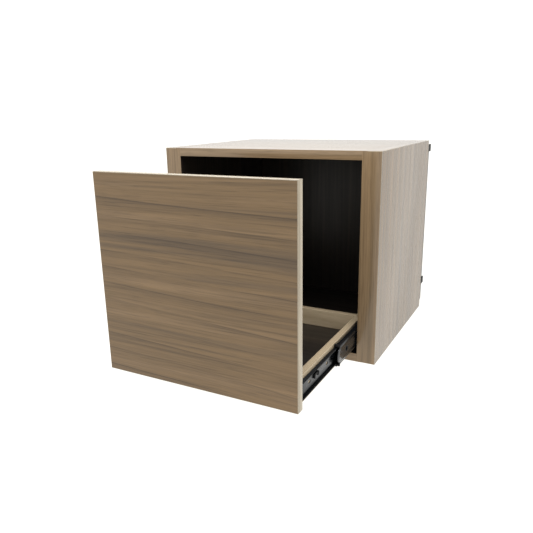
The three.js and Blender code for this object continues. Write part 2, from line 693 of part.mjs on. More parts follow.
for (const [sideName, side] of SIDES) {
  const slide = group(caseGroup, slideX(side), CASE_FRONT_Y + SLIDE_FRONT, SLIDE_Z);

  // Cabinet member, screwed flush to the liner
  const cabinetWeb = SLIDE_SPACE - SLIDE_STEEL / 2;
  const cabinetHoles = CABINET_SCREW_PLACES.map((place) =>
    aimX(countersunkScrew(CABINET_SCREW_LENGTH, SCREW_FIT), side).translate(side * CABINET_WEB_IN, place, 0),
  );
  const cabinetSlots = CABINET_SLOT_SHARES.map((share) => webSlot(side, cabinetWeb, share * SLIDE_LENGTH));
  const cabinetMember = cut(sectionY(mirrored(cabinetSection, side), 0, SLIDE_LENGTH), [
    ...cabinetHoles,
    ...cabinetSlots,
  ]);
  piece(slide, `${sideName}_cabinet_member`, cabinetMember, blackSteel);
  CABINET_SCREW_PLACES.forEach((place, i) => {
    const screw = aimX(countersunkScrew(CABINET_SCREW_LENGTH), side);
    const name = `${sideName}_cabinet_member_screw_${i + 1}`;
    piece(slide, name, screw, zinc, [side * CABINET_WEB_IN, place, 0]);
  });
  const outerCage = cage(
    sectionY(mirrored(outerCageSection, side), 0, CAGE_LENGTH),
    OUTER_CAGE_WEB_OUT,
    OUTER_BALL,
    side,
  );
  piece(slide, `${sideName}_outer_ball_cage`, outerCage, zinc, [0, OUTER_CAGE_PLACE, 0]);

  // Intermediate member with its nose, its bumper and the cage of inner balls
  const middle = group(slide, 0, -INTERMEDIATE_EXTENSION, 0);
  const lugReach = OUTER_CAGE_WEB_OUT + CAGE_STEEL / 2;
  const rail = join([
    sectionY(mirrored(intermediateSection, side), NOSE_LENGTH, SLIDE_LENGTH),
    nosePlate(side, 0),
    stopLug(side, INTERMEDIATE_WEB_OUT, lugReach, OUTER_LUG_PLACE),
  ]);
  const railHoles = INTERMEDIATE_HOLE_SHARES.map((share) =>
    webHole(side, INTERMEDIATE_WEB_OUT, share * SLIDE_LENGTH, ACCESS_HOLE_DIAMETER),
  );
  piece(middle, `${sideName}_intermediate_member`, cut(rail, railHoles), blackSteel);
  piece(middle, `${sideName}_intermediate_bumper`, bumper(side), blackPlastic);
  const innerCage = cage(
    sectionY(mirrored(innerCageSection, side), 0, CAGE_LENGTH),
    INNER_CAGE_WEB_OUT,
    INNER_BALL,
    side,
  );
  piece(middle, `${sideName}_inner_ball_cage`, innerCage, zinc, [0, INNER_CAGE_PLACE, 0]);
}

// Drawer

const drawer = group(part, 0, CASE_FRONT_Y - DRAWER_EXTENSION, 0);
const boxFrontY = FRONT_THICKNESS + BOX_SIDE_THICKNESS / 2;
const boxBackY = FRONT_THICKNESS + BOX_DEPTH - BOX_BACK_INSET - BOX_SIDE_THICKNESS / 2;
const boxMidZ = BOX_BOTTOM_Z + BOX_SIDE_HEIGHT / 2;
const boxBottomZ = BOX_BOTTOM_Z + BOX_BOTTOM_RISE + BOX_BOTTOM_THICKNESS / 2;
const boxSideMid = (BOX_WIDTH - BOX_SIDE_THICKNESS) / 2;
const boxInsideHalf = BOX_INSIDE_WIDTH / 2;
const inDado = DADO_DEPTH - WOOD_FIT;
const bottomWidth = BOX_INSIDE_WIDTH + 2 * inDado;
const bottomDepth = boxBackY - boxFrontY - BOX_SIDE_THICKNESS + 2 * inDado;

const frontScrewPlaces = SIDES.map(([sideName, side]) => [
  sideName,
  [
    side * (boxInsideHalf - FRONT_SCREW_INSET),
    FRONT_THICKNESS + BOX_SIDE_THICKNESS + SCREW_FIT,
    boxBottomZ + (BOX_BOTTOM_Z + BOX_SIDE_HEIGHT - boxBottomZ) / 2,
  ],
]);
const frontScrewHoles = () =>
  frontScrewPlaces.map(([, place]) => panScrew(FRONT_SCREW_LENGTH, SCREW_FIT).translate(...place));

// The groove for the drawer's bottom, which runs round the inside of the box
const bottomGroove = () =>
  block(
    [-boxInsideHalf - DADO_DEPTH, boxInsideHalf + DADO_DEPTH],
    [boxFrontY + BOX_SIDE_THICKNESS / 2 - DADO_DEPTH, boxBackY - BOX_SIDE_THICKNESS / 2 + DADO_DEPTH],
    [boxBottomZ - BOX_BOTTOM_THICKNESS / 2 - WOOD_FIT, boxBottomZ + BOX_BOTTOM_THICKNESS / 2 + WOOD_FIT],
  );

// The dadoes in the sides that hold the box's front and back
const crossDado = (y) =>
  block(
    [-boxInsideHalf - DADO_DEPTH, boxInsideHalf + DADO_DEPTH],
    [y - BOX_SIDE_THICKNESS / 2 - WOOD_FIT, y + BOX_SIDE_THICKNESS / 2 + WOOD_FIT],
    [BOX_BOTTOM_Z - CUT_OVERRUN, BOX_BOTTOM_Z + BOX_SIDE_HEIGHT + CUT_OVERRUN],
  );

board(
  drawer,
  "drawer_front",
  [FRONT_WIDTH, FRONT_THICKNESS, FRONT_HEIGHT],
  [0, FRONT_THICKNESS / 2, DECK_THICKNESS + FRONT_BOTTOM_GAP + FRONT_HEIGHT / 2],
  laminate,
  frontScrewHoles(),
);

for (const [name, y] of [
  ["drawer_box_front", boxFrontY],
  ["drawer_box_back", boxBackY],
]) {
  board(
    drawer,
    name,
    [BOX_INSIDE_WIDTH + 2 * inDado, BOX_SIDE_THICKNESS, BOX_SIDE_HEIGHT],
    [0, y, boxMidZ],
    plywood,
    [bottomGroove(), ...frontScrewHoles()],
  );
}

const drawerScrewPlaces = (side) =>
  DRAWER_SCREW_PLACES.map((place) => [
    slideX(side) + side * (SLIDE_STEEL + SCREW_FIT),
    SLIDE_FRONT + place,
    SLIDE_Z,
  ]);

for (const [sideName, side] of SIDES) {
  const screwHoles = drawerScrewPlaces(side).map((place) =>
    aimX(panScrew(BOX_SCREW_LENGTH, SCREW_FIT), -side).translate(...place),
  );
  board(
    drawer,
    `drawer_${sideName}_side`,
    [BOX_SIDE_THICKNESS, BOX_DEPTH, BOX_SIDE_HEIGHT],
    [side * boxSideMid, FRONT_THICKNESS + BOX_DEPTH / 2, boxMidZ],
    plywood,
    [bottomGroove(), crossDado(boxFrontY), crossDado(boxBackY), ...screwHoles],
  );
}

board(
  drawer,
  "drawer_bottom",
  [bottomWidth, bottomDepth, BOX_BOTTOM_THICKNESS],
  [0, (boxFrontY + boxBackY) / 2, boxBottomZ],
  blackLaminate,
);

for (const [sideName, place] of frontScrewPlaces) {
  piece(drawer, `drawer_front_${sideName}_screw`, panScrew(FRONT_SCREW_LENGTH), zinc, place);
}

// The outline of the release lever about its rivet: an eye, an arm that points forwards and a finger tab
function leverShape() {
  const armLow = LEVER_EYE_RADIUS - LEVER_ARM_HEIGHT;
  const fingerEnd = LEVER_EYE_RADIUS - LEVER_FINGER;
  const fingerRadius = LEVER_FINGER_WIDTH / 2;
  const armMeetsEye = Math.PI - Math.asin(armLow / LEVER_EYE_RADIUS);
  const cornerY = LEVER_CORNER - LEVER_ARM;
  const cornerZ = LEVER_EYE_RADIUS - LEVER_CORNER;
  const shape = new THREE.Shape();
  shape.absarc(0, 0, LEVER_EYE_RADIUS, armMeetsEye, (Math.PI * 5) / 2, false);
  shape.absarc(cornerY, cornerZ, LEVER_CORNER, Math.PI / 2, Math.PI, false);
  shape.absarc(fingerRadius - LEVER_ARM, fingerEnd + fingerRadius, fingerRadius, Math.PI, Math.PI * 2, false);
  shape.lineTo(-LEVER_ARM + LEVER_FINGER_WIDTH, armLow);
  const eye = new THREE.Path();
  eye.absarc(0, 0, RIVET_DIAMETER / 2 + LEVER_GAP, 0, Math.PI * 2, false);
  shape.holes.push(eye);
  return shape;
}

const leverInner = SLIDE_STEEL + LEVER_GAP;
const leverOuter = leverInner + LEVER_THICKNESS;
const rivetHeadOut = leverOuter + LEVER_GAP;

// The rivet with the underside of its head at height zero
function rivet() {
  const shank = rivetHeadOut - RIVET_TAIL_GAP;
  return turned([
    [0, -shank],
    [RIVET_DIAMETER / 2, -shank],
    [RIVET_DIAMETER / 2, 0],
    [RIVET_HEAD_DIAMETER / 2, 0],
    [RIVET_HEAD_DIAMETER / 2 - RIVET_HEAD_HEIGHT / 2, RIVET_HEAD_HEIGHT],
    [0, RIVET_HEAD_HEIGHT],
  ]);
}

for (const [sideName, side] of SIDES) {
  const member = group(drawer, slideX(side), SLIDE_FRONT, SLIDE_Z);
  const web = SLIDE_STEEL / 2;
  const lugReach = INNER_CAGE_WEB_OUT;
  const rail = join([
    sectionY(mirrored(drawerSection, side), 0, SLIDE_LENGTH),
    stopLug(side, web, lugReach, INNER_LUG_PLACE),
  ]);
  const holes = [
    ...DRAWER_SLOT_FRONT_INSETS.map((place) => webSlot(side, web, place)),
    ...DRAWER_SCREW_PLACES.map((place) => webHole(side, web, place, SCREW_DIAMETER + 2 * SCREW_FIT)),
    webHole(side, web, LEVER_PLACE, RIVET_DIAMETER + 2 * LEVER_GAP, LEVER_RISE),
  ];
  piece(member, `${sideName}_drawer_member`, cut(rail, holes), blackSteel);
  DRAWER_SCREW_PLACES.forEach((place, i) => {
    const screw = aimX(panScrew(BOX_SCREW_LENGTH), -side);
    const name = `${sideName}_drawer_member_screw_${i + 1}`;
    piece(member, name, screw, zinc, [side * (SLIDE_STEEL + SCREW_FIT), place, 0]);
  });
  const lever = plateX(leverShape(), side * leverInner, side * leverOuter);
  piece(member, `${sideName}_release_lever`, lever, blackPlastic, [0, LEVER_PLACE, LEVER_RISE]);
  const pin = aimX(rivet(), -side);
  piece(member, `${sideName}_lever_rivet`, pin, zinc, [side * rivetHeadOut, LEVER_PLACE, LEVER_RISE]);
}

export default part;
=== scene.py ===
import math
from functools import partial

import bmesh
import bpy
from mathutils import Matrix, Vector


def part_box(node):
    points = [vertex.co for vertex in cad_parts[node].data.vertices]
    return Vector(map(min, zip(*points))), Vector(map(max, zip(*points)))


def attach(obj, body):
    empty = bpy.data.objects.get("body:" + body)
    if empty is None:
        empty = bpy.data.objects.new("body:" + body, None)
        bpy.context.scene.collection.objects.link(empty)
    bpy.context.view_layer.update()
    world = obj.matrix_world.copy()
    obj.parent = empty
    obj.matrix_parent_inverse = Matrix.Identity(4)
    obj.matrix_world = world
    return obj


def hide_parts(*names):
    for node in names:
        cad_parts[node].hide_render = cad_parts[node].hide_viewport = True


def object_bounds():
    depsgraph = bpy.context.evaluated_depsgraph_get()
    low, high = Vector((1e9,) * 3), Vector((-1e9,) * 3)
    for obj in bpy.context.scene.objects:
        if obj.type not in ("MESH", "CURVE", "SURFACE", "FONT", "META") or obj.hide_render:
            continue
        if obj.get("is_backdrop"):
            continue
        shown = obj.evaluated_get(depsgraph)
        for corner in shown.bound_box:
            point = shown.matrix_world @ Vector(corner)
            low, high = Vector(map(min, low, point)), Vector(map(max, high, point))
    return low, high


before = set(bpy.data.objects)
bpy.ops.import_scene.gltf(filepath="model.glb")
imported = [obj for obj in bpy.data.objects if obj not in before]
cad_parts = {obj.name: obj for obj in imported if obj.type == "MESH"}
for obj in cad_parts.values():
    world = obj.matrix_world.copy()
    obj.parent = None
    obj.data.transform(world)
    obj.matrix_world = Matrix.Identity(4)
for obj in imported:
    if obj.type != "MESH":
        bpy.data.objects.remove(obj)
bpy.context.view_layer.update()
MM = 0.001

# Side panels. Thick particle board faced with a printed oak melamine whose grain runs up. The front
# and top edges carry a 1 mm band in the same print, the front one in paler shades that are partly
# painted light, and the trimmed corners show the band's body, whose beige partly paints highlights.
HANDS = ("left", "right")
BAND_THICKNESS = 1.0 * MM
PANEL_ROUNDING = 0.6 * MM
ROUNDING_STEPS = 3
HOLE_FIT = 0.3 * MM
PILOT_HOLE = 3 * MM
PRINT_SHADES = ("635039", "765E3F", "82694A", "36281A")
# The case's front edge bands are paler than the face print: partly the band's own tone, partly
# painted light that brightens the front edges of the case.
CASE_BAND_TONE_AND_LIGHT_SHADES = ("78654C", "877156", "917C62", "5A4B3D")
SATIN = (0.2, 0.14)
SOFT_SATIN = (0.3, 0.22)
CHIP_SIZE = 2.5 * MM
SWAY_SIZE = (450, 170)
SWAY_REACH = 4 * MM
# Each pattern of the print, with its length and width in millimetres, detail and roughness. Fibres
# and pores are drawn several times as coarse as in real oak, where they are too fine to show.
PRINT_PATTERNS = {
    "bands": (1100, 24, 3.0, 0.55),
    "wander": (900, 75, 1.0, 0.5),
    "presence": (380, 34, 2.0, 0.5),
    "fibres": (260, 3.2, 3.0, 0.65),
    "pores": (45, 1.0, 1.0, 0.5),
}
BAND_STOPS = (0.32, 0.45, 0.54, 0.68)
PRESENCE = [(0.38, 0.05), (0.62, 0.85)]
LATE_WOOD = [(0.0, 0.0), (0.4, 0.05), (0.75, 0.24), (0.9, 0.42), (0.95, 0.9), (1.0, 0.0)]
GROWTH_LINES = ((29 * MM, 0.9), (11 * MM, 0.35))
GROWTH_WANDER = 0.9 * 29 * MM
FIBRE_TONES = [(0.3, 0.72), (0.5, 1.0), (0.68, 1.12)]
PORE_TONES = [(0.3, 0.55), (0.42, 1.0)]
COLOUR_MIX = {"data_type": "RGBA"}
COLOUR_MULTIPLY = {"data_type": "RGBA", "blend_type": "MULTIPLY"}


def linear(hex_code):
    """Turns an sRGB hex colour into the linear values that a shader takes."""
    channels = [int(hex_code[i : i + 2], 16) / 255 for i in (0, 2, 4)]
    return (*[c / 12.92 if c <= 0.04045 else ((c + 0.055) / 1.055) ** 2.4 for c in channels], 1)


def join_up(node, inputs):
    """Gives a node's inputs their values, or links the outputs that feed them."""
    for name, value in inputs.items():
        if isinstance(value, bpy.types.NodeSocket):
            node.id_data.links.new(value, node.inputs[name])
        else:
            node.inputs[name].default_value = value


def add_node(tree, kind, inputs={}, stops=(), **settings):
    """Adds a shader node with its settings and links, and gives its outputs. The stops of a colour
    ramp are places from 0 to 1, each with a hex colour, linear values or a grey level. A Mix node's
    colours are its inputs 6 and 7 and its output 2."""
    node = tree.nodes.new("ShaderNode" + kind)
    for name, value in settings.items():
        setattr(node, name, value)
    for i, (stop, colour) in enumerate(stops):
        element = node.color_ramp.elements[i] if i < 2 else node.color_ramp.elements.new(1)
        element.position = stop
        if isinstance(colour, str):
            colour = linear(colour)
        element.color = colour if isinstance(colour, tuple) else (colour, colour, colour, 1)
    join_up(node, inputs)
    return node.outputs


def new_material(name, **values):
    """Starts a material, with the values that are the same all over set on its shader. Gives the
    material, add_node for its own nodes, and its shader."""
    material = bpy.data.materials.new(name)
    material.use_nodes = True
    shader = material.node_tree.nodes["Principled BSDF"]
    join_up(shader, {socket.replace("_", " "): value for socket, value in values.items()})
    return material, partial(add_node, material.node_tree), shader


def per_metre(axis, lengthwise, crosswise):
    """The scale of a pattern drawn out along an axis, from its features' size in millimetres."""
    return tuple(1 / ((lengthwise if name == axis else crosswise) * MM) for name in "XYZ")


def printed_oak(name, grain, across, shift, shades=PRINT_SHADES, growth=1.0, gloss=SATIN):
    """Oak print under clear melamine resin, pressed against a satin plate. It has soft bands, dark
    growth lines that fade out below, fibres and short pores, and shines at a low angle."""
    line = linear(shades[3])
    material, add, shader = new_material(name, IOR=1.5)
    inputs = {"Vector": add("TexCoord")["Object"], "Location": (shift,) * 3}
    start = add("Mapping", inputs)["Vector"]
    inputs = {"Vector": start, "Scale": per_metre(grain, *SWAY_SIZE)}
    stretched = add("Mapping", inputs)["Vector"]
    sway = add("TexNoise", {"Vector": stretched, "Scale": 1.0, "Detail": 1.0})["Color"]
    inputs = {0: sway, 1: (0.5, 0.5, 0.5)}
    centred = add("VectorMath", inputs, operation="SUBTRACT")["Vector"]
    inputs = {0: centred, 1: (4 * SWAY_REACH,) * 3, 2: start}
    swayed = add("VectorMath", inputs, operation="MULTIPLY_ADD")["Vector"]
    noise = {}
    for pattern, (lengthwise, crosswise, detail, roughness) in PRINT_PATTERNS.items():
        inputs = {"Vector": swayed, "Scale": per_metre(grain, lengthwise, crosswise)}
        inputs = {"Vector": add("Mapping", inputs)["Vector"], "Scale": 1.0}
        inputs |= {"Detail": detail, "Roughness": roughness}
        noise[pattern] = add("TexNoise", inputs)["Fac"]
    stops = list(zip(BAND_STOPS, [shades[i] for i in (0, 1, 1, 2)]))
    shade = add("ValToRGB", {"Fac": noise["bands"]}, stops)["Color"]
    presence = add("ValToRGB", {"Fac": noise["presence"]}, PRESENCE)["Color"]
    inputs = {0: swayed, 1: across}
    height = add("VectorMath", inputs, operation="DOT_PRODUCT")["Value"]
    for pitch, strength in GROWTH_LINES:
        inputs = {0: noise["wander"], 1: GROWTH_WANDER / pitch}
        drift = add("Math", inputs, operation="MULTIPLY")["Value"]
        inputs = {0: height, 1: 1 / pitch, 2: drift}
        turns = add("Math", inputs, operation="MULTIPLY_ADD")["Value"]
        turn = add("Math", {0: turns}, operation="FRACT")["Value"]
        late_wood = add("ValToRGB", {"Fac": turn}, LATE_WOOD)["Color"]
        inputs = {0: strength * growth, 6: (0, 0, 0, 1), 7: late_wood}
        inputs = {0: 1.0, 6: add("Mix", inputs, **COLOUR_MIX)[2], 7: presence}
        share = add("Mix", inputs, **COLOUR_MULTIPLY)[2]
        shade = add("Mix", {0: share, 6: shade, 7: line}, **COLOUR_MIX)[2]
    for pattern, strength, tones in (("fibres", 1.0, FIBRE_TONES), ("pores", 0.5, PORE_TONES)):
        tone = add("ValToRGB", {"Fac": noise[pattern]}, tones)["Color"]
        shade = add("Mix", {0: strength, 6: shade, 7: tone}, **COLOUR_MULTIPLY)[2]
    stops = list(zip((0.3, 0.7), gloss))
    shine = add("ValToRGB", {"Fac": noise["fibres"]}, stops)["Color"]
    raised = add("Bump", {"Height": tone, "Distance": 0.02 * MM, "Strength": 0.5})
    join_up(shader, {"Base Color": shade, "Roughness": shine, "Normal": raised["Normal"]})
    return material


def mottled_finish(name, scale, noise, shades, gloss=(), relief=(), shift=0.0, **values):
    """A material whose colour, gloss and relief follow one noise pattern, given by its detail and
    roughness. The relief is a depth in millimetres and a strength."""
    material, add, shader = new_material(name, **values)
    inputs = {"Vector": add("TexCoord")["Object"], "Scale": scale}
    inputs = {"Vector": add("Mapping", inputs | {"Location": (shift,) * 3})["Vector"]}
    inputs |= {"Scale": 1.0, "Detail": noise[0], "Roughness": noise[1]}
    pattern = add("TexNoise", inputs)["Fac"]
    links = {"Base Color": add("ValToRGB", {"Fac": pattern}, shades)["Color"]}
    if gloss:
        links["Roughness"] = add("ValToRGB", {"Fac": pattern}, gloss)["Color"]
    if relief:
        inputs = {"Height": pattern, "Distance": relief[0] * MM, "Strength": relief[1]}
        links["Normal"] = add("Bump", inputs)["Normal"]
    join_up(shader, links)
    return material


def chipboard():
    """Sawn particle board: pressed wood flakes of several tans, matt and rough, with open gaps."""
    material, add, shader = new_material("sawn particle board", Roughness=0.85)
    inputs = {"Vector": add("TexCoord")["Object"], "Scale": 1 / CHIP_SIZE}
    flakes = add("TexVoronoi", inputs | {"Randomness": 1.0})
    one_channel = add("SeparateColor", {"Color": flakes["Color"]})["Red"]
    stops = [(0.0, "947852"), (1.0, "C2AA84")]
    colour = add("ValToRGB", {"Fac": one_channel}, stops)["Color"]
    raised = add("Bump", {"Height": flakes["Distance"], "Distance": 0.3 * MM})
    join_up(shader, {"Base Color": colour, "Normal": raised["Normal"]})
    return material


GRAIN_UP = printed_oak("printed oak melamine, grain up", "Z", (0.5, 0.87, 0), 0.0, gloss=SOFT_SATIN)
BAND_UP = printed_oak(
    "printed oak ABS edge band, grain up", "Z", (0.9, 0.4, 0), 5.0, CASE_BAND_TONE_AND_LIGHT_SHADES, growth=0.1
)
BAND_DEEP = printed_oak(
    "printed oak ABS edge band, grain front to back", "Y", (0.9, 0, 0.4), 3.0, growth=0.3
)
# The ABS body of the edge band, seen where its corners are trimmed. It is plain beige, smooth and a
# little mottled by the trimming cutter. On the roundings its pale beige is also a painted highlight
# along the corners.
EDGE_BODY_AND_HIGHLIGHT = mottled_finish(
    "trimmed beige ABS edge band", per_metre("X", 3.3, 3.3), noise=(2, 0.5),
    shades=[(0.3, "968B78"), (0.7, "A59A87")], relief=(0.03, 1), Roughness=0.35, IOR=1.53,
)
CHIPBOARD = chipboard()

AIM = {"X": (0, math.pi / 2, 0), "Y": (math.pi / 2, 0, 0), "Z": (0, 0, 0)}
SIDE_NORMALS = {
    sign + axis: Vector([(1 if sign == "+" else -1) if name == axis else 0 for name in "XYZ"])
    for sign in "+-"
    for axis in "XYZ"
}


def make_active(piece):
    """Leaves only this piece selected, so that the next operator acts on it alone."""
    bpy.ops.object.select_all(action="DESELECT")
    piece.select_set(True)
    bpy.context.view_layer.objects.active = piece


def name_piece(name):
    """Names the object that was just made, with its place put into its mesh."""
    bpy.ops.object.transform_apply()
    piece = bpy.context.object
    piece.name = piece.data.name = name
    return piece


def block(low, high):
    """Adds a block between two corners."""
    low, high = Vector(low), Vector(high)
    bpy.ops.mesh.primitive_cube_add(size=1, location=(low + high) / 2, scale=high - low)
    return bpy.context.object


def rod(place, axis, diameter, length, sides=32):
    """Adds a round rod along an axis, centred at a place."""
    bpy.ops.mesh.primitive_cylinder_add(
        vertices=sides, radius=diameter / 2, depth=length, location=place, rotation=AIM[axis]
    )
    return bpy.context.object


def end_edit():
    """Goes back to object mode."""
    bpy.ops.object.mode_set(mode="OBJECT")


def take_all():
    """Opens the active piece in edit mode with its whole mesh selected."""
    bpy.ops.object.mode_set(mode="EDIT")
    bpy.ops.mesh.select_all(action="SELECT")


def bevel(width, steps):
    """In edit mode, bevels the selected edges."""
    bpy.ops.mesh.bevel(offset=width, segments=steps, affect="EDGES")


def select_parts(piece, kind, test):
    """Opens the active piece in edit mode with just the parts of a kind selected, EDGE or FACE,
    whose middle and direction pass a test. A face's direction is its normal."""
    bpy.ops.object.mode_set(mode="EDIT")
    bpy.ops.mesh.select_mode(type=kind)
    bpy.ops.mesh.select_all(action="DESELECT")
    mesh = bmesh.from_edit_mesh(piece.data)
    for part in mesh.edges if kind == "EDGE" else mesh.faces:
        if kind == "EDGE":
            start, end = (vertex.co for vertex in part.verts)
            place, way = (start + end) / 2, (end - start).normalized()
        else:
            place, way = part.calc_center_median(), part.normal
        part.select_set(test(place, way))
    bmesh.update_edit_mesh(piece.data)


def apply_modifier(piece, kind, **settings):
    """Adds a modifier, sets it and applies it."""
    make_active(piece)
    bpy.ops.object.modifier_add(type=kind)
    modifier = piece.modifiers[-1]
    for name, value in settings.items():
        setattr(modifier, name, value)
    bpy.ops.object.modifier_apply(modifier=modifier.name)


def combine(piece, other, operation):
    """Takes another shape out of a piece, or adds it, and clears that shape away."""
    apply_modifier(piece, "BOOLEAN", operation=operation, solver="EXACT", object=other)
    bpy.data.objects.remove(other)


def drill(piece, place, axis, diameter, depth, sides=32):
    """Drills a round hole along an axis, centred at a place."""
    combine(piece, rod(place, axis, diameter, depth, sides), "DIFFERENCE")


def side_of(vector):
    """The side of a box that a vector points to, such as +X."""
    axis = max(range(3), key=lambda i: abs(vector[i]))
    return ("-" if vector[axis] < 0 else "+") + "XYZ"[axis]


def corner_on(side, low, high):
    """The corner of a box that lies on one of its sides."""
    return high if side[0] == "+" else low


def from_side(point, side, low, high):
    """How far a point lies in from one side of a box."""
    return abs((point - corner_on(side, low, high)) @ SIDE_NORMALS[side])


def board(name, low, high, rounding, bands=(), joints=()):
    """A board sawn to size, its edges rounded but for those of a glued joint, with each edge band's
    joint line marked by a cut."""
    block(low, high)
    piece = name_piece(name)
    select_parts(
        piece,
        "EDGE",
        lambda place, way: all(from_side(place, side, low, high) > rounding for side in joints),
    )
    bevel(rounding, ROUNDING_STEPS)
    for side in bands:
        normal = SIDE_NORMALS[side]
        joint_line = corner_on(side, low, high) - normal * BAND_THICKNESS
        take_all()
        bpy.ops.mesh.bisect(plane_co=joint_line, plane_no=normal)
    end_edit()
    return piece


def dress_board(piece, faces, core, bands=(), body=EDGE_BODY_AND_HIGHLIGHT):
    """Gives each side of a board its facing, or the core where it has none. Roundings and the edges
    of bands show the band's body, whose pale beige also paints corner highlights, and holes and
    grooves show the core."""
    low, high = [Vector(f(c[i] for c in piece.bound_box) for i in range(3)) for f in (min, max)]
    materials = list(dict.fromkeys([*faces.values(), core, body]))
    piece.data.materials.clear()
    for material in materials:
        piece.data.materials.append(material)
    for face in piece.data.polygons:
        side = side_of(face.normal)
        depth = min(min(face.center - low), min(high - face.center))
        in_band = any(
            banded != side and from_side(face.center, banded, low, high) < BAND_THICKNESS
            for banded in bands
        )
        if depth > BAND_THICKNESS / 2:
            chosen = core
        elif abs(face.normal @ SIDE_NORMALS[side]) < 0.999 or in_band:
            chosen = body
        else:
            chosen = faces.get(side, core)
        face.material_index = materials.index(chosen)
    make_active(piece)
    bpy.ops.object.shade_smooth_by_angle(angle=math.radians(35))


def fit(piece, body, node):
    """The piece stands for a CAD node, which it hides, and moves with its body."""
    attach(piece, body)
    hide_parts(node)


INWARDS = {"left": "+X", "right": "-X"}
DOWELS = {
    hand: [f"{level}_{hand}_{end}" for level in ("bottom", "top") for end in ("front", "rear")]
    for hand in HANDS
}


def drill_for_dowels(piece, dowels):
    """Drills the holes that dowels sit in, with room for the glue."""
    for dowel in dowels:
        low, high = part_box(f"{dowel}_dowel")
        width, length = high.y - low.y + 2 * HOLE_FIT, high.x - low.x + 2 * HOLE_FIT
        drill(piece, (low + high) / 2, "X", width, length)


def drill_for_screw(piece, node, axis, diameter):
    """Drills a hole along a screw's whole length."""
    low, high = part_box(node)
    drill(piece, (low + high) / 2, axis, diameter, (high - low)["XYZ".index(axis)])


for hand in HANDS:
    bands = ["-Y", "+Z"]
    node = f"{hand}_side_panel"
    panel = board(f"{hand}_side_board", *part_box(node), PANEL_ROUNDING, bands, [INWARDS[hand]])
    drill_for_dowels(panel, DOWELS[hand])
    for level in ("lower", "upper"):
        drill_for_screw(panel, f"{hand}_bracket_{level}_screw", "Y", PILOT_HOLE)
    faces = {"+X": GRAIN_UP, "-X": GRAIN_UP, "-Y": BAND_UP, "+Z": BAND_DEEP}
    dress_board(panel, faces, CHIPBOARD, bands)
    fit(panel, "case", node)


# Side liners. Thin boards glued inside the side panels, black inside the box and banded on the
# front edge like the panels. A groove near the back holds the back panel.
OUTWARDS = {"left": "-X", "right": "+X"}
JOINT_ROUNDING = 0.25 * MM
GROOVE_GAP = Vector((HOLE_FIT, HOLE_FIT, HOLE_FIT))
BLACK_BROWNS = [(0.3, "120F0D"), (0.5, "1D1814"), (0.7, "2A221C")]


def black_melamine(name, grain, shift):
    """Black-brown melamine for the inside: nearly black, with a satin sheen and a faint grain."""
    return mottled_finish(
        name, per_metre(grain, 330, 6), noise=(4, 0.6), shades=BLACK_BROWNS,
        gloss=[(0.3, 0.5), (0.7, 0.36)], relief=(0.05, 0.6), shift=shift, IOR=1.5,
    )


BLACK_UP = black_melamine("black-brown melamine, grain up", "Z", 0.0)


def mill(piece, low, high):
    """Mills away a box-shaped groove or notch."""
    combine(piece, block(low, high), "DIFFERENCE")


def groove_for(piece, node, gap=GROOVE_GAP):
    """Mills the groove that a board sits in."""
    low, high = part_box(node)
    mill(piece, low - gap, high + gap)


for hand in HANDS:
    node = f"{hand}_side_liner"
    bands = ["-Y", "+Z"]
    liner = board(f"{hand}_liner_board", *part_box(node), JOINT_ROUNDING, bands, [OUTWARDS[hand]])
    groove_for(liner, "back_panel")
    drill_for_dowels(liner, DOWELS[hand])
    faces = {INWARDS[hand]: BLACK_UP, OUTWARDS[hand]: CHIPBOARD, "-Y": BAND_UP, "+Z": BAND_DEEP}
    dress_board(liner, faces, CHIPBOARD, body=BAND_UP)
    fit(liner, "case", node)


# Bottom and top panels. Boards between the liners, held by dowels and glue. Their grain runs
# across, the inner faces are black, and the front edges are banded like the sides.
BLACK_ACROSS = black_melamine("black-brown melamine, grain across", "X", 4.0)
GRAIN_ACROSS = printed_oak(
    "printed oak melamine, grain across", "X", (0, 0.9, 0.4), 7.0, growth=0.5
)
BAND_ACROSS = printed_oak(
    "printed oak ABS edge band, grain across", "X", (0, 0.4, 0.9), 2.0, CASE_BAND_TONE_AND_LIGHT_SHADES, growth=0.3
)

for level, inner, outer in (("bottom", "+Z", "-Z"), ("top", "-Z", "+Z")):
    node = f"{level}_panel"
    deck = board(f"{level}_board", *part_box(node), JOINT_ROUNDING, ["-Y"], ["-X", "+X"])
    groove_for(deck, "back_panel")
    for hand in HANDS:
        drill_for_dowels(deck, [dowel for dowel in DOWELS[hand] if dowel.startswith(level)])
    faces = {outer: GRAIN_ACROSS, inner: BLACK_ACROSS, "-Y": BAND_ACROSS}
    dress_board(deck, faces, CHIPBOARD, body=BAND_ACROSS)
    fit(deck, "case", node)


# Dowels. Fluted beech pins with chamfered ends, two in each end of each deck, glued through the
# liner into the side panel.
DOWEL_FLUTES = 16
DOWEL_CHAMFER = 0.8 * MM
FLUTE_DEPTH = 0.25 * MM
STRAIGHT = 0.9
# Turned beech: close pale pink-tan wood, matt, with short dark flecks along the grain.
BEECH_WOOD = mottled_finish(
    "turned beech", per_metre("X", 5.5, 0.8), noise=(2, 0.5),
    shades=[(0.35, "B08658"), (0.55, "CDA67C")], relief=(0.05, 1), Roughness=0.65,
)


def select_sides(piece, *sides):
    """Selects just the faces that look straight to a side, such as +X."""
    ways = [SIDE_NORMALS[side] for side in sides]
    select_parts(piece, "FACE", lambda place, way: any(way @ side > STRAIGHT for side in ways))


def finish(piece, material, smooth_angle=30):
    """Gives a piece of one material its finish and its shading."""
    piece.data.materials.clear()
    piece.data.materials.append(material)
    for face in piece.data.polygons:
        face.material_index = 0
    make_active(piece)
    bpy.ops.object.shade_smooth_by_angle(angle=math.radians(smooth_angle))


def copy_of(piece):
    """Makes a copy with its own mesh, in the same place."""
    make_active(piece)
    bpy.ops.object.duplicate(linked=False)
    return bpy.context.object


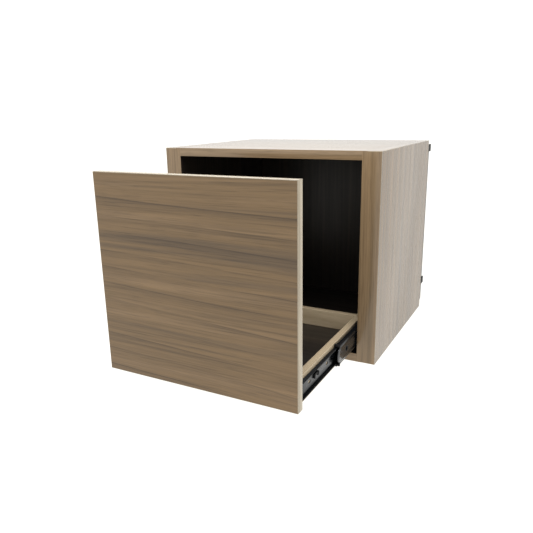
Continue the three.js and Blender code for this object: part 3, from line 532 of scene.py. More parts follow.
def copy_to(piece, name, shift):
    """Makes a copy with its own mesh, at a new place."""
    copy_of(piece)
    bpy.ops.transform.translate(value=shift)
    return name_piece(name)


def middle(node):
    """The middle of a node's box."""
    low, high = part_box(node)
    return (low + high) / 2


low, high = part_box("bottom_left_front_dowel")
rod((0, 0, 0), "X", high.y - low.y, high.x - low.x, sides=2 * DOWEL_FLUTES)
pin = name_piece("dowel_pattern")
select_sides(pin, "+X", "-X")
bevel(DOWEL_CHAMFER, 1)
select_parts(
    pin,
    "FACE",
    lambda place, way: abs(way.x) < 1 - STRAIGHT
    and round(math.atan2(place.z, place.y) / (math.pi / DOWEL_FLUTES) - 0.5) % 2 == 0,
)
bpy.ops.mesh.inset(thickness=FLUTE_DEPTH, depth=-FLUTE_DEPTH, use_individual=True)
end_edit()
finish(pin, BEECH_WOOD, 20)
for dowel in [*DOWELS["left"], *DOWELS["right"]]:
    node = f"{dowel}_dowel"
    fit(copy_to(pin, f"{dowel}_pin", middle(node)), "case", node)
bpy.data.objects.remove(pin)


# Back panel. Thin particle board faced black on both sides, slid into the grooves of the liners and
# decks before the last board closes the case.
BACK_ROUNDING = 0.3 * MM

back = board("back_board", *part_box("back_panel"), BACK_ROUNDING)
dress_board(back, {side: BLACK_UP for side in SIDE_NORMALS}, CHIPBOARD, body=BLACK_UP)
fit(back, "case", "back_panel")


# Hanging brackets. Steel angle folded from strip and powder-coated grey, one on each back edge,
# held by two pan-head screws. The web stands out behind the case and carries the hooks.
BRACKET_STEEL = 2 * MM
BRACKET_FOLD = 2.6 * MM
BRACKET_EDGE = 0.3 * MM
BRACKET_SCREW_HOLE = 4.6 * MM
STUD_DIAMETER = 3.6 * MM
STUD_INSET = 4 * MM
ORANGE_PEEL = 1.1 * MM
DUST_PATCH = 17 * MM
SHARP_EDGE = 0.9
SQUARE_EDGE = 1.2


def powder_coat():
    """Grey polyester powder coat on steel: semi-matt, with the fine orange peel of baked powder."""
    material, add, shader = new_material("grey powder-coated steel", Roughness=0.48, IOR=1.5)
    place = add("TexCoord")["Object"]
    inputs = {"Vector": place, "Scale": 1 / ORANGE_PEEL, "Detail": 1.0}
    peel = add("TexNoise", inputs)["Fac"]
    inputs = {"Vector": place, "Scale": 1 / DUST_PATCH, "Detail": 3.0}
    dust = add("TexNoise", inputs)["Fac"]
    colour = add("ValToRGB", {"Fac": dust}, [(0.35, "2B2E32"), (0.65, "34383C")])["Color"]
    raised = add("Bump", {"Height": peel, "Distance": 0.12 * MM})["Normal"]
    join_up(shader, {"Base Color": colour, "Normal": raised})
    return material


def extrude(*shift):
    """In edit mode, draws the selected faces or edges out by a shift."""
    bpy.ops.mesh.extrude_region_move(TRANSFORM_OT_translate={"value": shift})


def ease_edges(piece, width, steps, sharper_than=SHARP_EDGE):
    """Rounds each edge where the faces turn by more than an angle, in radians."""
    limit = {"limit_method": "ANGLE", "angle_limit": sharper_than}
    apply_modifier(piece, "BEVEL", width=width, segments=steps, **limit)


def near(a, b):
    """Whether two lengths are the same to a hundredth of a millimetre."""
    return abs(a - b) < 0.01 * MM


def face_outwards():
    """Turns every face of the active piece outwards, and ends in object mode."""
    take_all()
    bpy.ops.mesh.normals_make_consistent(inside=False)
    end_edit()


def fit_both(piece, name, node, body):
    """Fits the right-hand piece, and mirrors it with its own mesh into the left-hand one. A brace
    stands for the hand."""
    piece.name = piece.data.name = name.format("right")
    copy_of(piece).scale = (-1, 1, 1)
    left = name_piece(name.format("left"))
    face_outwards()
    fit(piece, body.format("right"), node.format("right"))
    fit(left, body.format("left"), node.format("left"))


low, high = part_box("right_hanging_bracket")
block(low, (high.x, low.y + BRACKET_STEEL, high.z))
angle = name_piece("right_bracket_angle")
take_all()
bpy.ops.mesh.bisect(plane_co=(high.x - BRACKET_STEEL, 0, 0), plane_no=(1, 0, 0))
select_parts(
    angle, "FACE", lambda place, way: way.y > STRAIGHT and place.x > high.x - BRACKET_STEEL
)
extrude(0, high.y - low.y - BRACKET_STEEL, 0)
for x, y, radius, steps in (
    (high.x, low.y, BRACKET_FOLD, 6),
    (high.x - BRACKET_STEEL, low.y + BRACKET_STEEL, BRACKET_FOLD - BRACKET_STEEL, 4),
):
    select_parts(
        angle,
        "EDGE",
        lambda place, way: abs(way.z) > STRAIGHT and near(place.x, x) and near(place.y, y),
    )
    bevel(radius, steps)
end_edit()
ease_edges(angle, BRACKET_EDGE, 2, SQUARE_EDGE)
stud_back = (low.y + BRACKET_STEEL + high.y) / 2
for level in ("lower", "upper"):
    screw = middle(f"right_bracket_{level}_screw")
    drill(angle, (screw.x, low.y, screw.z), "Y", BRACKET_SCREW_HOLE, 4 * BRACKET_STEEL)
for level in ("lower", "upper"):
    hook_low, hook_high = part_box(f"right_{level}_hook")
    for rise in (hook_low.z + STUD_INSET, hook_high.z - STUD_INSET):
        place = (high.x, stud_back, rise)
        drill(angle, place, "X", STUD_DIAMETER + 2 * HOLE_FIT, 4 * BRACKET_STEEL)
finish(angle, powder_coat())
fit_both(angle, "{}_bracket_angle", "{}_hanging_bracket", "case")


# Hooks. Blanked from steel strip and blacked, two on each bracket, lying on the outside of its web
# and held by two riveted studs each. The slot drops over a rail.
HOOK_SLOT_WIDTH = 3.2 * MM
HOOK_SLOT_DEPTH = 9 * MM
HOOK_STEEL = 2 * MM
HOOK_CORNER = 2 * MM
HOOK_EDGE = 0.35 * MM


def coated_steel(name, dark, light, gloss, metallic, clear):
    """Cold-rolled steel under a thin dark coat. It is nearly black where it mirrors dark things and
    grey where it mirrors light, with a faint waviness from rolling and dull handling marks."""
    return mottled_finish(
        name, per_metre("Y", 40, 4.5), noise=(4, 0.6), shades=[(0.35, dark), (0.7, light)],
        gloss=list(zip((0.3, 0.7), gloss)), relief=(0.03, 1),
        Metallic=metallic, Coat_Weight=clear, Coat_Roughness=0.12,
    )


def join_pieces(piece, others):
    """Joins other pieces to a piece, each with its own material."""
    make_active(piece)
    for other in others:
        other.select_set(True)
    bpy.ops.object.join()


bracket_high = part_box("right_hanging_bracket")[1]
low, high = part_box("right_lower_hook")
block((high.x - HOOK_STEEL, low.y, low.z), high)
hook = name_piece("right_lower_hook_plate")
select_parts(hook, "EDGE", lambda place, way: abs(way.x) > STRAIGHT and near(place.y, high.y))
bevel(HOOK_CORNER, 6)
end_edit()
mill(
    hook,
    (high.x - 2 * HOOK_STEEL, bracket_high.y, low.z - HOOK_STEEL),
    (high.x + HOOK_STEEL, bracket_high.y + HOOK_SLOT_WIDTH, low.z + HOOK_SLOT_DEPTH),
)
ease_edges(hook, HOOK_EDGE, 2)
stud_length = BRACKET_STEEL + HOOK_STEEL / 2
stud_out = bracket_high.x - BRACKET_STEEL + stud_length / 2
studs = []
for rise in (low.z + STUD_INSET, high.z - STUD_INSET):
    rod((stud_out, stud_back, rise), "X", STUD_DIAMETER, stud_length)
    studs.append(name_piece("stud"))
    select_sides(studs[-1], "-X")
    bevel(HOOK_EDGE, 2)
    end_edit()
join_pieces(hook, studs)
finish(hook, coated_steel("blacked hook steel", "0F1011", "1B1D1F", (0.7, 0.55), 0.55, 0.0))
hook_rise = middle("right_upper_hook") - middle("right_lower_hook")
upper_hook = copy_to(hook, "right_upper_hook_plate", hook_rise)
fit_both(hook, "{}_lower_hook_plate", "{}_lower_hook", "case")
fit_both(upper_hook, "{}_upper_hook_plate", "{}_upper_hook", "case")


# Pan-head screws. Bright zinc-plated steel with a cross recess. They hold the brackets to the case,
# the drawer members to the drawer's sides and the box to the drawer front.
HEAD_ROUNDING = 1.0 * MM
RECESS_WIDTH = 3.8 * MM
RECESS_SLOT = 1.0 * MM
RECESS_DEPTH = 1.1 * MM
THREAD_PITCH = 1.8 * MM
THREAD_ROOT_SHARE = 0.72
POINT_SHARE = 0.1
PAN_HEAD_HEIGHT = 1.8 * MM
SHANK_DIAMETER = 4 * MM
SPANGLE = 1.2 * MM
# A screw points down as it is made. These turn its head to face each way.
HEAD_TO = {"+X": (0, math.pi / 2, 0), "-X": (0, -math.pi / 2, 0), "+Y": (-math.pi / 2, 0, 0)}


def zinc_plate(name, dull, bright, roughness):
    """Zinc plating with faint crystal patches of differing gloss. Clear passivate leaves it a pale
    blue-grey metal, and black passivate nearly black."""
    material, add, shader = new_material(name, Metallic=1.0)
    inputs = {"Vector": add("TexCoord")["Object"], "Scale": 1 / SPANGLE}
    crystals = add("TexVoronoi", inputs)["Color"]
    patch = add("SeparateColor", {"Color": crystals})["Green"]
    colour = add("ValToRGB", {"Fac": patch}, [(0.0, dull), (1.0, bright)])["Color"]
    stops = [(0.0, roughness + 0.1), (1.0, roughness)]
    gloss = add("ValToRGB", {"Fac": patch}, stops)["Color"]
    join_up(shader, {"Base Color": colour, "Roughness": gloss})
    return material


ZINC_PLATE = zinc_plate("bright zinc-plated steel", "9EA3A6", "BFC3C6", 0.25)


def narrow(share):
    """In edit mode, narrows what is selected towards the Z axis."""
    bpy.ops.transform.resize(value=(share, share, 1), center_override=(0, 0, 0))


def turn_screw_shank(length):
    """Draws the thread and the point of a screw down from the selected underside of its head."""
    depth = 0.0
    while depth < length - 2 * THREAD_PITCH:
        for share in (THREAD_ROOT_SHARE, 1 / THREAD_ROOT_SHARE):
            extrude(0, 0, -THREAD_PITCH / 2)
            narrow(share)
        depth += THREAD_PITCH
    extrude(0, 0, depth - length)
    narrow(POINT_SHARE)


def cross_recess(screw, top):
    """Presses the cross into the top of a head."""
    for x, y in ((RECESS_WIDTH / 2, RECESS_SLOT / 2), (RECESS_SLOT / 2, RECESS_WIDTH / 2)):
        mill(screw, (-x, -y, top - RECESS_DEPTH), (x, y, top + RECESS_DEPTH))


def screw_size(node, axis):
    """The head's diameter and the whole length of a screw that lies along an axis."""
    low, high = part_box(node)
    if axis == "X":
        return high.z - low.z, high.x - low.x
    return high.x - low.x, high.y - low.y


def pan_screw(node, axis):
    """A pan-head screw of a node's size, with the underside of its head at height zero."""
    head, length = screw_size(node, axis)
    rod((0, 0, PAN_HEAD_HEIGHT / 2), "Z", head, PAN_HEAD_HEIGHT)
    screw = name_piece("pan_screw_pattern")
    select_sides(screw, "+Z")
    bevel(HEAD_ROUNDING, 4)
    select_sides(screw, "-Z")
    bpy.ops.mesh.inset(thickness=(head - SHANK_DIAMETER) / 2)
    turn_screw_shank(length - PAN_HEAD_HEIGHT)
    end_edit()
    cross_recess(screw, PAN_HEAD_HEIGHT)
    finish(screw, ZINC_PLATE)
    return screw


def drive_in(pattern, top, body, screws):
    """Copies a screw to where the frame has each one, its head turned outwards. The top is the
    height of the pattern's head, and each screw's name has its node and the side it faces."""
    for name, (node, side) in screws.items():
        low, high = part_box(node)
        centre, normal = (low + high) / 2, SIDE_NORMALS[side]
        screw = copy_of(pattern)
        screw.rotation_euler = HEAD_TO[side]
        screw.location = centre + normal * ((corner_on(side, low, high) - centre) @ normal - top)
        fit(name_piece(name), body, node)
    bpy.data.objects.remove(pattern)


drive_in(pan_screw("right_bracket_lower_screw", "Y"), PAN_HEAD_HEIGHT, "case", {
    f"{hand}_bracket_{level}_pan_screw": (f"{hand}_bracket_{level}_screw", "+Y")
    for hand in HANDS
    for level in ("lower", "upper")
})


# Cabinet members. The outer rail of each slide, rolled from black-coated steel strip as a C that
# wraps half round the outer balls, and screwed to the liner. Each slide is drawn with its height
# from the slide's middle and its width outwards from the drawer's side.
SLIDE_STEEL = 1.2 * MM
RACE_MIDLINE = 2.5 * MM
OUTER_BALL = Vector((9.6, 0, 19.6)) * MM
CABINET_WEB_OUT = 12.1 * MM
CABINET_LIP = math.radians(140)
RACE_STEP = math.radians(8)
FOLD_ANGLE = math.radians(25)
STRIP_EDGE = 0.18 * MM
SLOT_LENGTH = 9 * MM
SLOT_HEIGHT = 5 * MM
CABINET_SLOT_SHARES = (0.27, 0.49, 0.7)
FLAT_HEAD_HOLE = 8.2 * MM
SEAT_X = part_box("drawer_right_side")[1].x
SLIDE_Z = middle("right_cabinet_member").z
SLIDE_PLACE = Vector((SEAT_X, 0, SLIDE_Z))
RAIL_BLACK = coated_steel("black e-coated rail steel", "191B1F", "2C2F33", (0.36, 0.2), 0.7, 0.2)


def start_outline(name, point):
    """Starts an outline: a small plane drawn together to one point, from which edges are drawn."""
    bpy.ops.mesh.primitive_plane_add(size=MM, location=point)
    piece = name_piece(name)
    take_all()
    bpy.ops.mesh.select_mode(type="VERT")
    bpy.ops.mesh.merge(type="CENTER")
    return piece


def line_to(piece, *points):
    """Draws straight edges from the outline's end to one point after another."""
    for point in points:
        mesh = bmesh.from_edit_mesh(piece.data)
        end = next(vertex.co.copy() for vertex in mesh.verts if vertex.select)
        bpy.ops.mesh.extrude_vertices_move(TRANSFORM_OT_translate={"value": Vector(point) - end})


def arc_round(centre, axis, angle):
    """Draws an arc from the outline's end, turning about an axis through a centre."""
    steps = max(2, math.ceil(abs(angle) / RACE_STEP))
    bpy.ops.mesh.spin(steps=steps, angle=-angle, center=centre, axis=axis)


def on_arc(centre, radius, angle):
    """A point on an arc in a slide's section."""
    return centre + radius * Vector((math.cos(angle), 0, math.sin(angle)))


def roll_strip(sheet, front, rear, fold, steel=SLIDE_STEEL):
    """Runs the upper half of a section from front to rear, mirrors it below, rounds its folds and
    gives the sheet its thickness."""
    take_all()
    extrude(0, rear - front, 0)
    take_all()
    bpy.ops.transform.translate(value=(0, front, 0))
    end_edit()
    apply_modifier(sheet, "MIRROR", use_axis=(False, False, True), merge_threshold=0.01 * MM)
    if fold:
        ease_edges(sheet, fold, 5, FOLD_ANGLE)
    take_all()
    bpy.ops.mesh.remove_doubles(threshold=0.001 * MM)
    face_outwards()
    apply_modifier(sheet, "SOLIDIFY", thickness=steel, offset=0)
    face_outwards()
    ease_edges(sheet, STRIP_EDGE, 2)


def roll_rail(name, ball, lip, leave, out, front, rear, fold):
    """Draws half of a rail's section, from its lip round the balls to the angle where it leaves
    them straight for its web, and rolls the strip."""
    rail = start_outline(name, on_arc(ball, RACE_MIDLINE, lip))
    arc_round(ball, (0, 1, 0), lip - leave)
    if leave:
        end = on_arc(ball, RACE_MIDLINE, leave)
        line_to(rail, (out, 0, end.z - (out - end.x) / math.tan(leave)))
    line_to(rail, (out, 0, 0))
    roll_strip(rail, front, rear, fold)
    return rail


def punch(piece, out, place, diameter, sides=32, height=0):
    """Punches a round hole through a web that stands out by a width."""
    drill(piece, (out, place, height), "X", diameter, 4 * SLIDE_STEEL, sides)


def punch_slot(piece, out, place):
    """Punches a long hole with round ends through a web."""
    reach = 2 * SLIDE_STEEL
    half = (SLOT_LENGTH - SLOT_HEIGHT) / 2
    low = (out - reach, place - half, -SLOT_HEIGHT / 2)
    mill(piece, low, (out + reach, place + half, SLOT_HEIGHT / 2))
    for end in (place - half, place + half):
        punch(piece, out, end, SLOT_HEIGHT)


def fit_in_slides(piece, name, node, body, slot, material=None):
    """Moves a piece from the slide's own section to the right slide, and fits it and its twin."""
    make_active(piece)
    bpy.ops.transform.translate(value=SLIDE_PLACE)
    bpy.ops.object.transform_apply()
    if material:
        finish(piece, material)
    fit_both(piece, name, node, body)


low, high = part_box("right_cabinet_member")
section = (OUTER_BALL, CABINET_LIP, 0, CABINET_WEB_OUT)
rail = roll_rail("cabinet_rail", *section, low.y, high.y, fold=0)
for share in CABINET_SLOT_SHARES:
    punch_slot(rail, CABINET_WEB_OUT, low.y + share * (high.y - low.y))
for number in (1, 2):
    screw = middle(f"right_cabinet_member_screw_{number}")
    punch(rail, CABINET_WEB_OUT, screw.y, FLAT_HEAD_HOLE)
fit_in_slides(rail, "{}_cabinet_rail", "{}_cabinet_member", "case", "black_steel", RAIL_BLACK)


# Countersunk screws. Zinc-plated steel, driven through the cabinet members into the liners and side
# panels until their heads are flush.
COUNTERSINK_DEPTH = 1.9 * MM
COUNTERSINK_RIM = 0.3 * MM

head, length = screw_size("right_cabinet_member_screw_1", "X")
rod((0, 0, -COUNTERSINK_RIM / 2), "Z", head, COUNTERSINK_RIM)
flat_screw = name_piece("flat_screw_pattern")
select_sides(flat_screw, "-Z")
extrude(0, 0, COUNTERSINK_RIM - COUNTERSINK_DEPTH)
narrow(SHANK_DIAMETER / head)
turn_screw_shank(length - COUNTERSINK_DEPTH)
end_edit()
cross_recess(flat_screw, 0)
finish(flat_screw, ZINC_PLATE)
drive_in(flat_screw, 0, "case", {
    f"{hand}_cabinet_flat_screw_{number}": (f"{hand}_cabinet_member_screw_{number}", INWARDS[hand])
    for hand in HANDS
    for number in (1, 2)
})


# Outer ball cages. Thin zinc-plated strip with punched windows and two rows of hardened steel
# balls. Each cage rolls between the cabinet and intermediate members at half their travel.
BALL_DIAMETER = 3.2 * MM
CAGE_STEEL = 0.6 * MM
OUTER_CAGE_OUT = 10.85 * MM
CAGE_BALL_PITCH = 16 * MM
CAGE_BALL_INSET = 10 * MM
CAGE_WINDOW_HEIGHT = 20 * MM
CAGE_BRIDGE = 9 * MM
CAGE_ZINC = zinc_plate("zinc-plated cage strip", "9EA3A6", "BFC3C6", 0.32)
# Hardened chrome steel, ground and lapped: a near mirror with a faint film of grease.
BALL_STEEL = mottled_finish(
    "lapped bearing steel", per_metre("X", 4, 4), noise=(2, 0.5),
    shades=[(0.35, "B4B7BA"), (0.6, "D4D6D8")], gloss=[(0.35, 0.24), (0.6, 0.1)], Metallic=1.0,
)


def make_cages(which, corners, fold, ball):
    """Rolls a cage from strip through its section's corners, punches two long windows with bridges
    between and beside them, sets the two rows of balls in its edges, and fits both hands."""
    low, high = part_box(f"right_{which}_ball_cage")
    strip = start_outline(f"{which}_cage", corners[0])
    line_to(strip, *corners[1:])
    roll_strip(strip, low.y, high.y, fold, CAGE_STEEL)
    web_out = corners[-1][0]
    length = (high.y - low.y - 3 * CAGE_BRIDGE) / 2
    for start in (low.y + CAGE_BRIDGE, high.y - CAGE_BRIDGE - length):
        window_low = (web_out - SLIDE_STEEL, start, -CAGE_WINDOW_HEIGHT / 2)
        mill(strip, window_low, (web_out + SLIDE_STEEL, start + length, CAGE_WINDOW_HEIGHT / 2))
    count = 1 + math.floor((high.y - low.y - 2 * CAGE_BALL_INSET) / CAGE_BALL_PITCH)
    balls = []
    for height in (ball.z, -ball.z):
        for i in range(count):
            place = (ball.x, low.y + CAGE_BALL_INSET + i * CAGE_BALL_PITCH, height)
            bpy.ops.mesh.primitive_uv_sphere_add(
                segments=20, ring_count=12, radius=BALL_DIAMETER / 2, location=place
            )
            balls.append(bpy.context.object)
            balls[-1].data.materials.append(BALL_STEEL)
    strip.data.materials.append(CAGE_ZINC)
    join_pieces(strip, balls)
    bpy.ops.object.shade_smooth_by_angle(angle=math.radians(30))
    names = (f"{{}}_{which}_cage_strip", f"{{}}_{which}_ball_cage", f"{{}}_{which}_cage")
    fit_in_slides(strip, *names, "zinc_steel")


make_cages("outer", [(OUTER_CAGE_OUT, 0, OUTER_BALL.z), (OUTER_CAGE_OUT, 0, 0)], 0, OUTER_BALL)


# Intermediate members. Rolled strip that runs on the outer balls and carries the inner ones. The
# front end of each is a rounded tongue with a raised ring pressed round its first hole.
INNER_BALL = Vector((4.6, 0, 16)) * MM
INTERMEDIATE_WEB_OUT = 9.6 * MM
INTERMEDIATE_LIP = math.radians(190)
FOLD_SET = 0.7 * MM
NOSE_LENGTH = 10.5 * MM
NOSE_HEIGHT = 26 * MM
ACCESS_HOLE = 9 * MM
INTERMEDIATE_HOLE_SHARES = (0.15, 0.33, 0.51, 0.69, 0.9)
RIM_HEIGHT = 0.5 * MM
STOP_LUG_LENGTH = 2 * MM
STOP_LUG_HEIGHT = 8 * MM
OUTER_LUG_PLACE = 252.5 * MM


def press_lug(rail, out_from, out_to, place):
    """Presses out of a rail's web the lug that stops a ball cage, with its free corners rounded."""
    high = (out_to, place + STOP_LUG_LENGTH, STOP_LUG_HEIGHT / 2)
    block((out_from, place, -STOP_LUG_HEIGHT / 2), high)
    lug = name_piece("lug")
    select_parts(lug, "EDGE", lambda place, way: near(place.x, out_to))
    bevel(STRIP_EDGE, 2)
    end_edit()
    combine(rail, lug, "UNION")


across = OUTER_BALL - INNER_BALL
leave = math.atan2(across.z, across.x) + math.acos(2 * RACE_MIDLINE / across.length)
low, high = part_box("right_intermediate_member")
nose_root = low.y + NOSE_LENGTH
section = (INNER_BALL, INTERMEDIATE_LIP, leave, INTERMEDIATE_WEB_OUT)
rail = roll_rail("intermediate_rail", *section, nose_root, high.y, FOLD_SET)

rod((INTERMEDIATE_WEB_OUT, nose_root, 0), "X", NOSE_HEIGHT, SLIDE_STEEL, sides=64)
nose = name_piece("nose")
middle_of_nose = (0, nose_root, 0)
take_all()
half_off = {"clear_outer": True, "use_fill": True}
bpy.ops.mesh.bisect(plane_co=middle_of_nose, plane_no=(0, 1, 0), **half_off)
take_all()
squash = (1, 2 * NOSE_LENGTH / NOSE_HEIGHT, 1)
bpy.ops.transform.resize(value=squash, center_override=middle_of_nose)
select_sides(nose, "+Y")
extrude(0, NOSE_LENGTH, 0)
end_edit()
ease_edges(nose, STRIP_EDGE, 2)
combine(rail, nose, "UNION")
for share in INTERMEDIATE_HOLE_SHARES:
    punch(rail, INTERMEDIATE_WEB_OUT, low.y + share * (high.y - low.y), ACCESS_HOLE, sides=48)
first_hole = low.y + INTERMEDIATE_HOLE_SHARES[0] * (high.y - low.y)
bpy.ops.mesh.primitive_torus_add(
    major_segments=48, minor_segments=10, rotation=AIM["X"],
    major_radius=ACCESS_HOLE / 2 + RIM_HEIGHT, minor_radius=RIM_HEIGHT,
    location=(INTERMEDIATE_WEB_OUT + SLIDE_STEEL / 2, first_hole, 0),
)
combine(rail, bpy.context.object, "UNION")
press_lug(rail, INTERMEDIATE_WEB_OUT, OUTER_CAGE_OUT + CAGE_STEEL / 2, low.y + OUTER_LUG_PLACE)
names = ("{}_intermediate_rail", "{}_intermediate_member", "{}_intermediate")
fit_in_slides(rail, *names, "black_steel", RAIL_BLACK)


# Bumpers. Black moulded stops pushed on the front ends of the intermediate members. The drawer
# members pass through their windows.
BUMPER_ROUNDING = 0.5 * MM
BUMPER_STEP_OUT = 6.5 * MM
BUMPER_STEP_HEIGHT = 38.4 * MM
PASS_GAP = 0.5 * MM
# Black acetal, injection moulded. Matt, as the grain of a spark-eroded mould scatters the light, so
# it stays black at every angle. The grain is drawn several times as coarse, or it wouldn't show.
BLACK_ACETAL = mottled_finish(
    "black moulded acetal", per_metre("X", 0.5, 0.5), noise=(1, 0.5),
    shades=[(0.3, "0E0E0F"), (0.7, "171718")], relief=(0.06, 1),
    Roughness=0.6, Specular_IOR_Level=0.2,
)

low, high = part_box("right_intermediate_bumper")
drawer_low, drawer_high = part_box("right_drawer_member")
inner, outer = low.x - SEAT_X, high.x - SEAT_X
half = (high.z - low.z) / 2
step = BUMPER_STEP_HEIGHT / 2
pass_out = max(drawer_high.x - SEAT_X, INNER_BALL.x + RACE_MIDLINE) + PASS_GAP
pass_half = (drawer_high.z - drawer_low.z) / 2 + PASS_GAP
nose_out = INTERMEDIATE_WEB_OUT - SLIDE_STEEL / 2 - HOLE_FIT
nose_half = NOSE_HEIGHT / 2 + HOLE_FIT
block((inner, low.y, -half), (outer, high.y, half))
bumper = name_piece("bumper")
for out_from, out_to, bottom, top in (
    (BUMPER_STEP_OUT, outer + MM, step, 2 * half),
    (BUMPER_STEP_OUT, outer + MM, -2 * half, -step),
    (inner - MM, pass_out, -pass_half, pass_half),
    (nose_out, outer + MM, -nose_half, nose_half),
):
    mill(bumper, (out_from, low.y - MM, bottom), (out_to, high.y + MM, top))
ease_edges(bumper, BUMPER_ROUNDING, 3)
names = ("{}_bumper", "{}_intermediate_bumper", "{}_intermediate")
fit_in_slides(bumper, *names, "black_plastic", BLACK_ACETAL)


# Inner ball cages. Zinc-plated strip bent to a channel, with balls along its two legs. Each rolls
# between the intermediate and drawer members.
INNER_CAGE_OUT = 8.2 * MM
CAGE_LEG = Vector((5.2, 0, 15.6)) * MM
CAGE_FOLD = 0.5 * MM

corners = [CAGE_LEG, (INNER_CAGE_OUT, 0, CAGE_LEG.z), (INNER_CAGE_OUT, 0, 0)]
make_cages("inner", corners, CAGE_FOLD, INNER_BALL)


# Drawer members. The inner rail of each slide, screwed flat to the drawer's side. Its edges are
# rolled into grooves for the inner balls.
DRAWER_WEB_OUT = SLIDE_STEEL / 2
DRAWER_LIP = math.radians(320)
DRAWER_RACE = math.radians(235)
DRAWER_SLOT_INSETS = (36 * MM, 110 * MM)
DRAWER_FOLD = 2.3 * MM
INNER_LUG_PLACE = 274.5 * MM
RIVET_DIAMETER = 3 * MM

low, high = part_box("right_drawer_member")
section = (INNER_BALL, DRAWER_LIP, DRAWER_RACE, DRAWER_WEB_OUT)
rail = roll_rail("drawer_rail", *section, low.y, high.y, DRAWER_FOLD)
for inset in DRAWER_SLOT_INSETS:
    punch_slot(rail, DRAWER_WEB_OUT, low.y + inset)
for number in (1, 2):
    place = middle(f"right_drawer_member_screw_{number}").y
    punch(rail, DRAWER_WEB_OUT, place, SHANK_DIAMETER + 2 * HOLE_FIT)
pivot = middle("right_lever_rivet") - SLIDE_PLACE
punch(rail, DRAWER_WEB_OUT, pivot.y, RIVET_DIAMETER + 2 * HOLE_FIT, height=pivot.z)
press_lug(rail, DRAWER_WEB_OUT, INNER_CAGE_OUT, low.y + INNER_LUG_PLACE)
fit_in_slides(rail, "{}_drawer_rail", "{}_drawer_member", "drawer", "black_steel", RAIL_BLACK)

drive_in(pan_screw("right_drawer_member_screw_1", "X"), PAN_HEAD_HEIGHT, "drawer", {
    f"{hand}_drawer_rail_pan_screw_{number}": (f"{hand}_drawer_member_screw_{number}", side)
    for hand, side in OUTWARDS.items()
    for number in (1, 2)
})


# Release levers. Black moulded levers that swing on a rivet in the drawer member. Pressed, each
# frees the drawer from its slide.
LEVER_THICKNESS = 2.6 * MM
LEVER_EYE = 4 * MM
LEVER_ARM = 15 * MM
LEVER_ARM_HEIGHT = 3.2 * MM
LEVER_CORNER = 1.6 * MM
LEVER_FINGER = 8.5 * MM
LEVER_FINGER_WIDTH = 3.6 * MM
LEVER_ROUNDING = 0.4 * MM
RIVET_HEAD_HEIGHT = 0.8 * MM
RIVET_CROWN = 0.8 * RIVET_HEAD_HEIGHT

pivot.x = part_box("right_release_lever")[0].x - SEAT_X


def from_pivot(back, up):
    """A point of the lever's outline, given from its rivet."""
    return pivot + Vector((0, back, up))


arm_low = LEVER_EYE - LEVER_ARM_HEIGHT
eye_start = math.pi - math.asin(arm_low / LEVER_EYE)
finger_radius = LEVER_FINGER_WIDTH / 2
finger_middle = LEVER_EYE - LEVER_FINGER + finger_radius
eye_point = from_pivot(LEVER_EYE * math.cos(eye_start), LEVER_EYE * math.sin(eye_start))
lever = start_outline("lever", eye_point)
arc_round(pivot, (1, 0, 0), 5 * math.pi / 2 - eye_start)
line_to(lever, from_pivot(LEVER_CORNER - LEVER_ARM, LEVER_EYE))
corner_middle = from_pivot(LEVER_CORNER - LEVER_ARM, LEVER_EYE - LEVER_CORNER)
arc_round(corner_middle, (1, 0, 0), math.pi / 2)
line_to(lever, from_pivot(-LEVER_ARM, finger_middle))
arc_round(from_pivot(finger_radius - LEVER_ARM, finger_middle), (1, 0, 0), math.pi)
line_to(lever, from_pivot(LEVER_FINGER_WIDTH - LEVER_ARM, arm_low))
take_all()
bpy.ops.mesh.edge_face_add()
take_all()
extrude(LEVER_THICKNESS, 0, 0)
face_outwards()
ease_edges(lever, LEVER_ROUNDING, 3)
drill(lever, pivot, "X", RIVET_DIAMETER + 2 * HOLE_FIT, 4 * LEVER_THICKNESS)
fit_in_slides(lever, "{}_lever", "{}_release_lever", "{}_lever", "black_plastic", BLACK_ACETAL)

low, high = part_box("right_lever_rivet")
head = high.z - low.z
head_middle = high.x - SEAT_X - RIVET_HEAD_HEIGHT / 2
rod((head_middle, pivot.y, pivot.z), "X", head, RIVET_HEAD_HEIGHT)
rivet = name_piece("rivet")
select_sides(rivet, "+X")
bevel(RIVET_CROWN, 4)
select_sides(rivet, "-X")
bpy.ops.mesh.inset(thickness=(head - RIVET_DIAMETER) / 2)
extrude(low.x - high.x + RIVET_HEAD_HEIGHT, 0, 0)
end_edit()
black_zinc = zinc_plate("black-passivated zinc-plated steel", "1B1C1E", "26272A", 0.35)
fit_in_slides(rivet, "{}_rivet", "{}_lever_rivet", "drawer", "zinc_steel", black_zinc)


# Drawer box. Birch plywood sides, front and back, dadoed together and glued, with a black-faced
# bottom in their grooves. The edges show the plies.
BOX_ROUNDING = 0.6 * MM
CLEARANCE_HOLE = 4.6 * MM
PLY_THICKNESS = 1.35 * MM
BIRCH = "BEAD90"
BIRCH_DARK = "A59377"
PLY_DARK = "8C765A"
END_FIBRE = 2 * MM


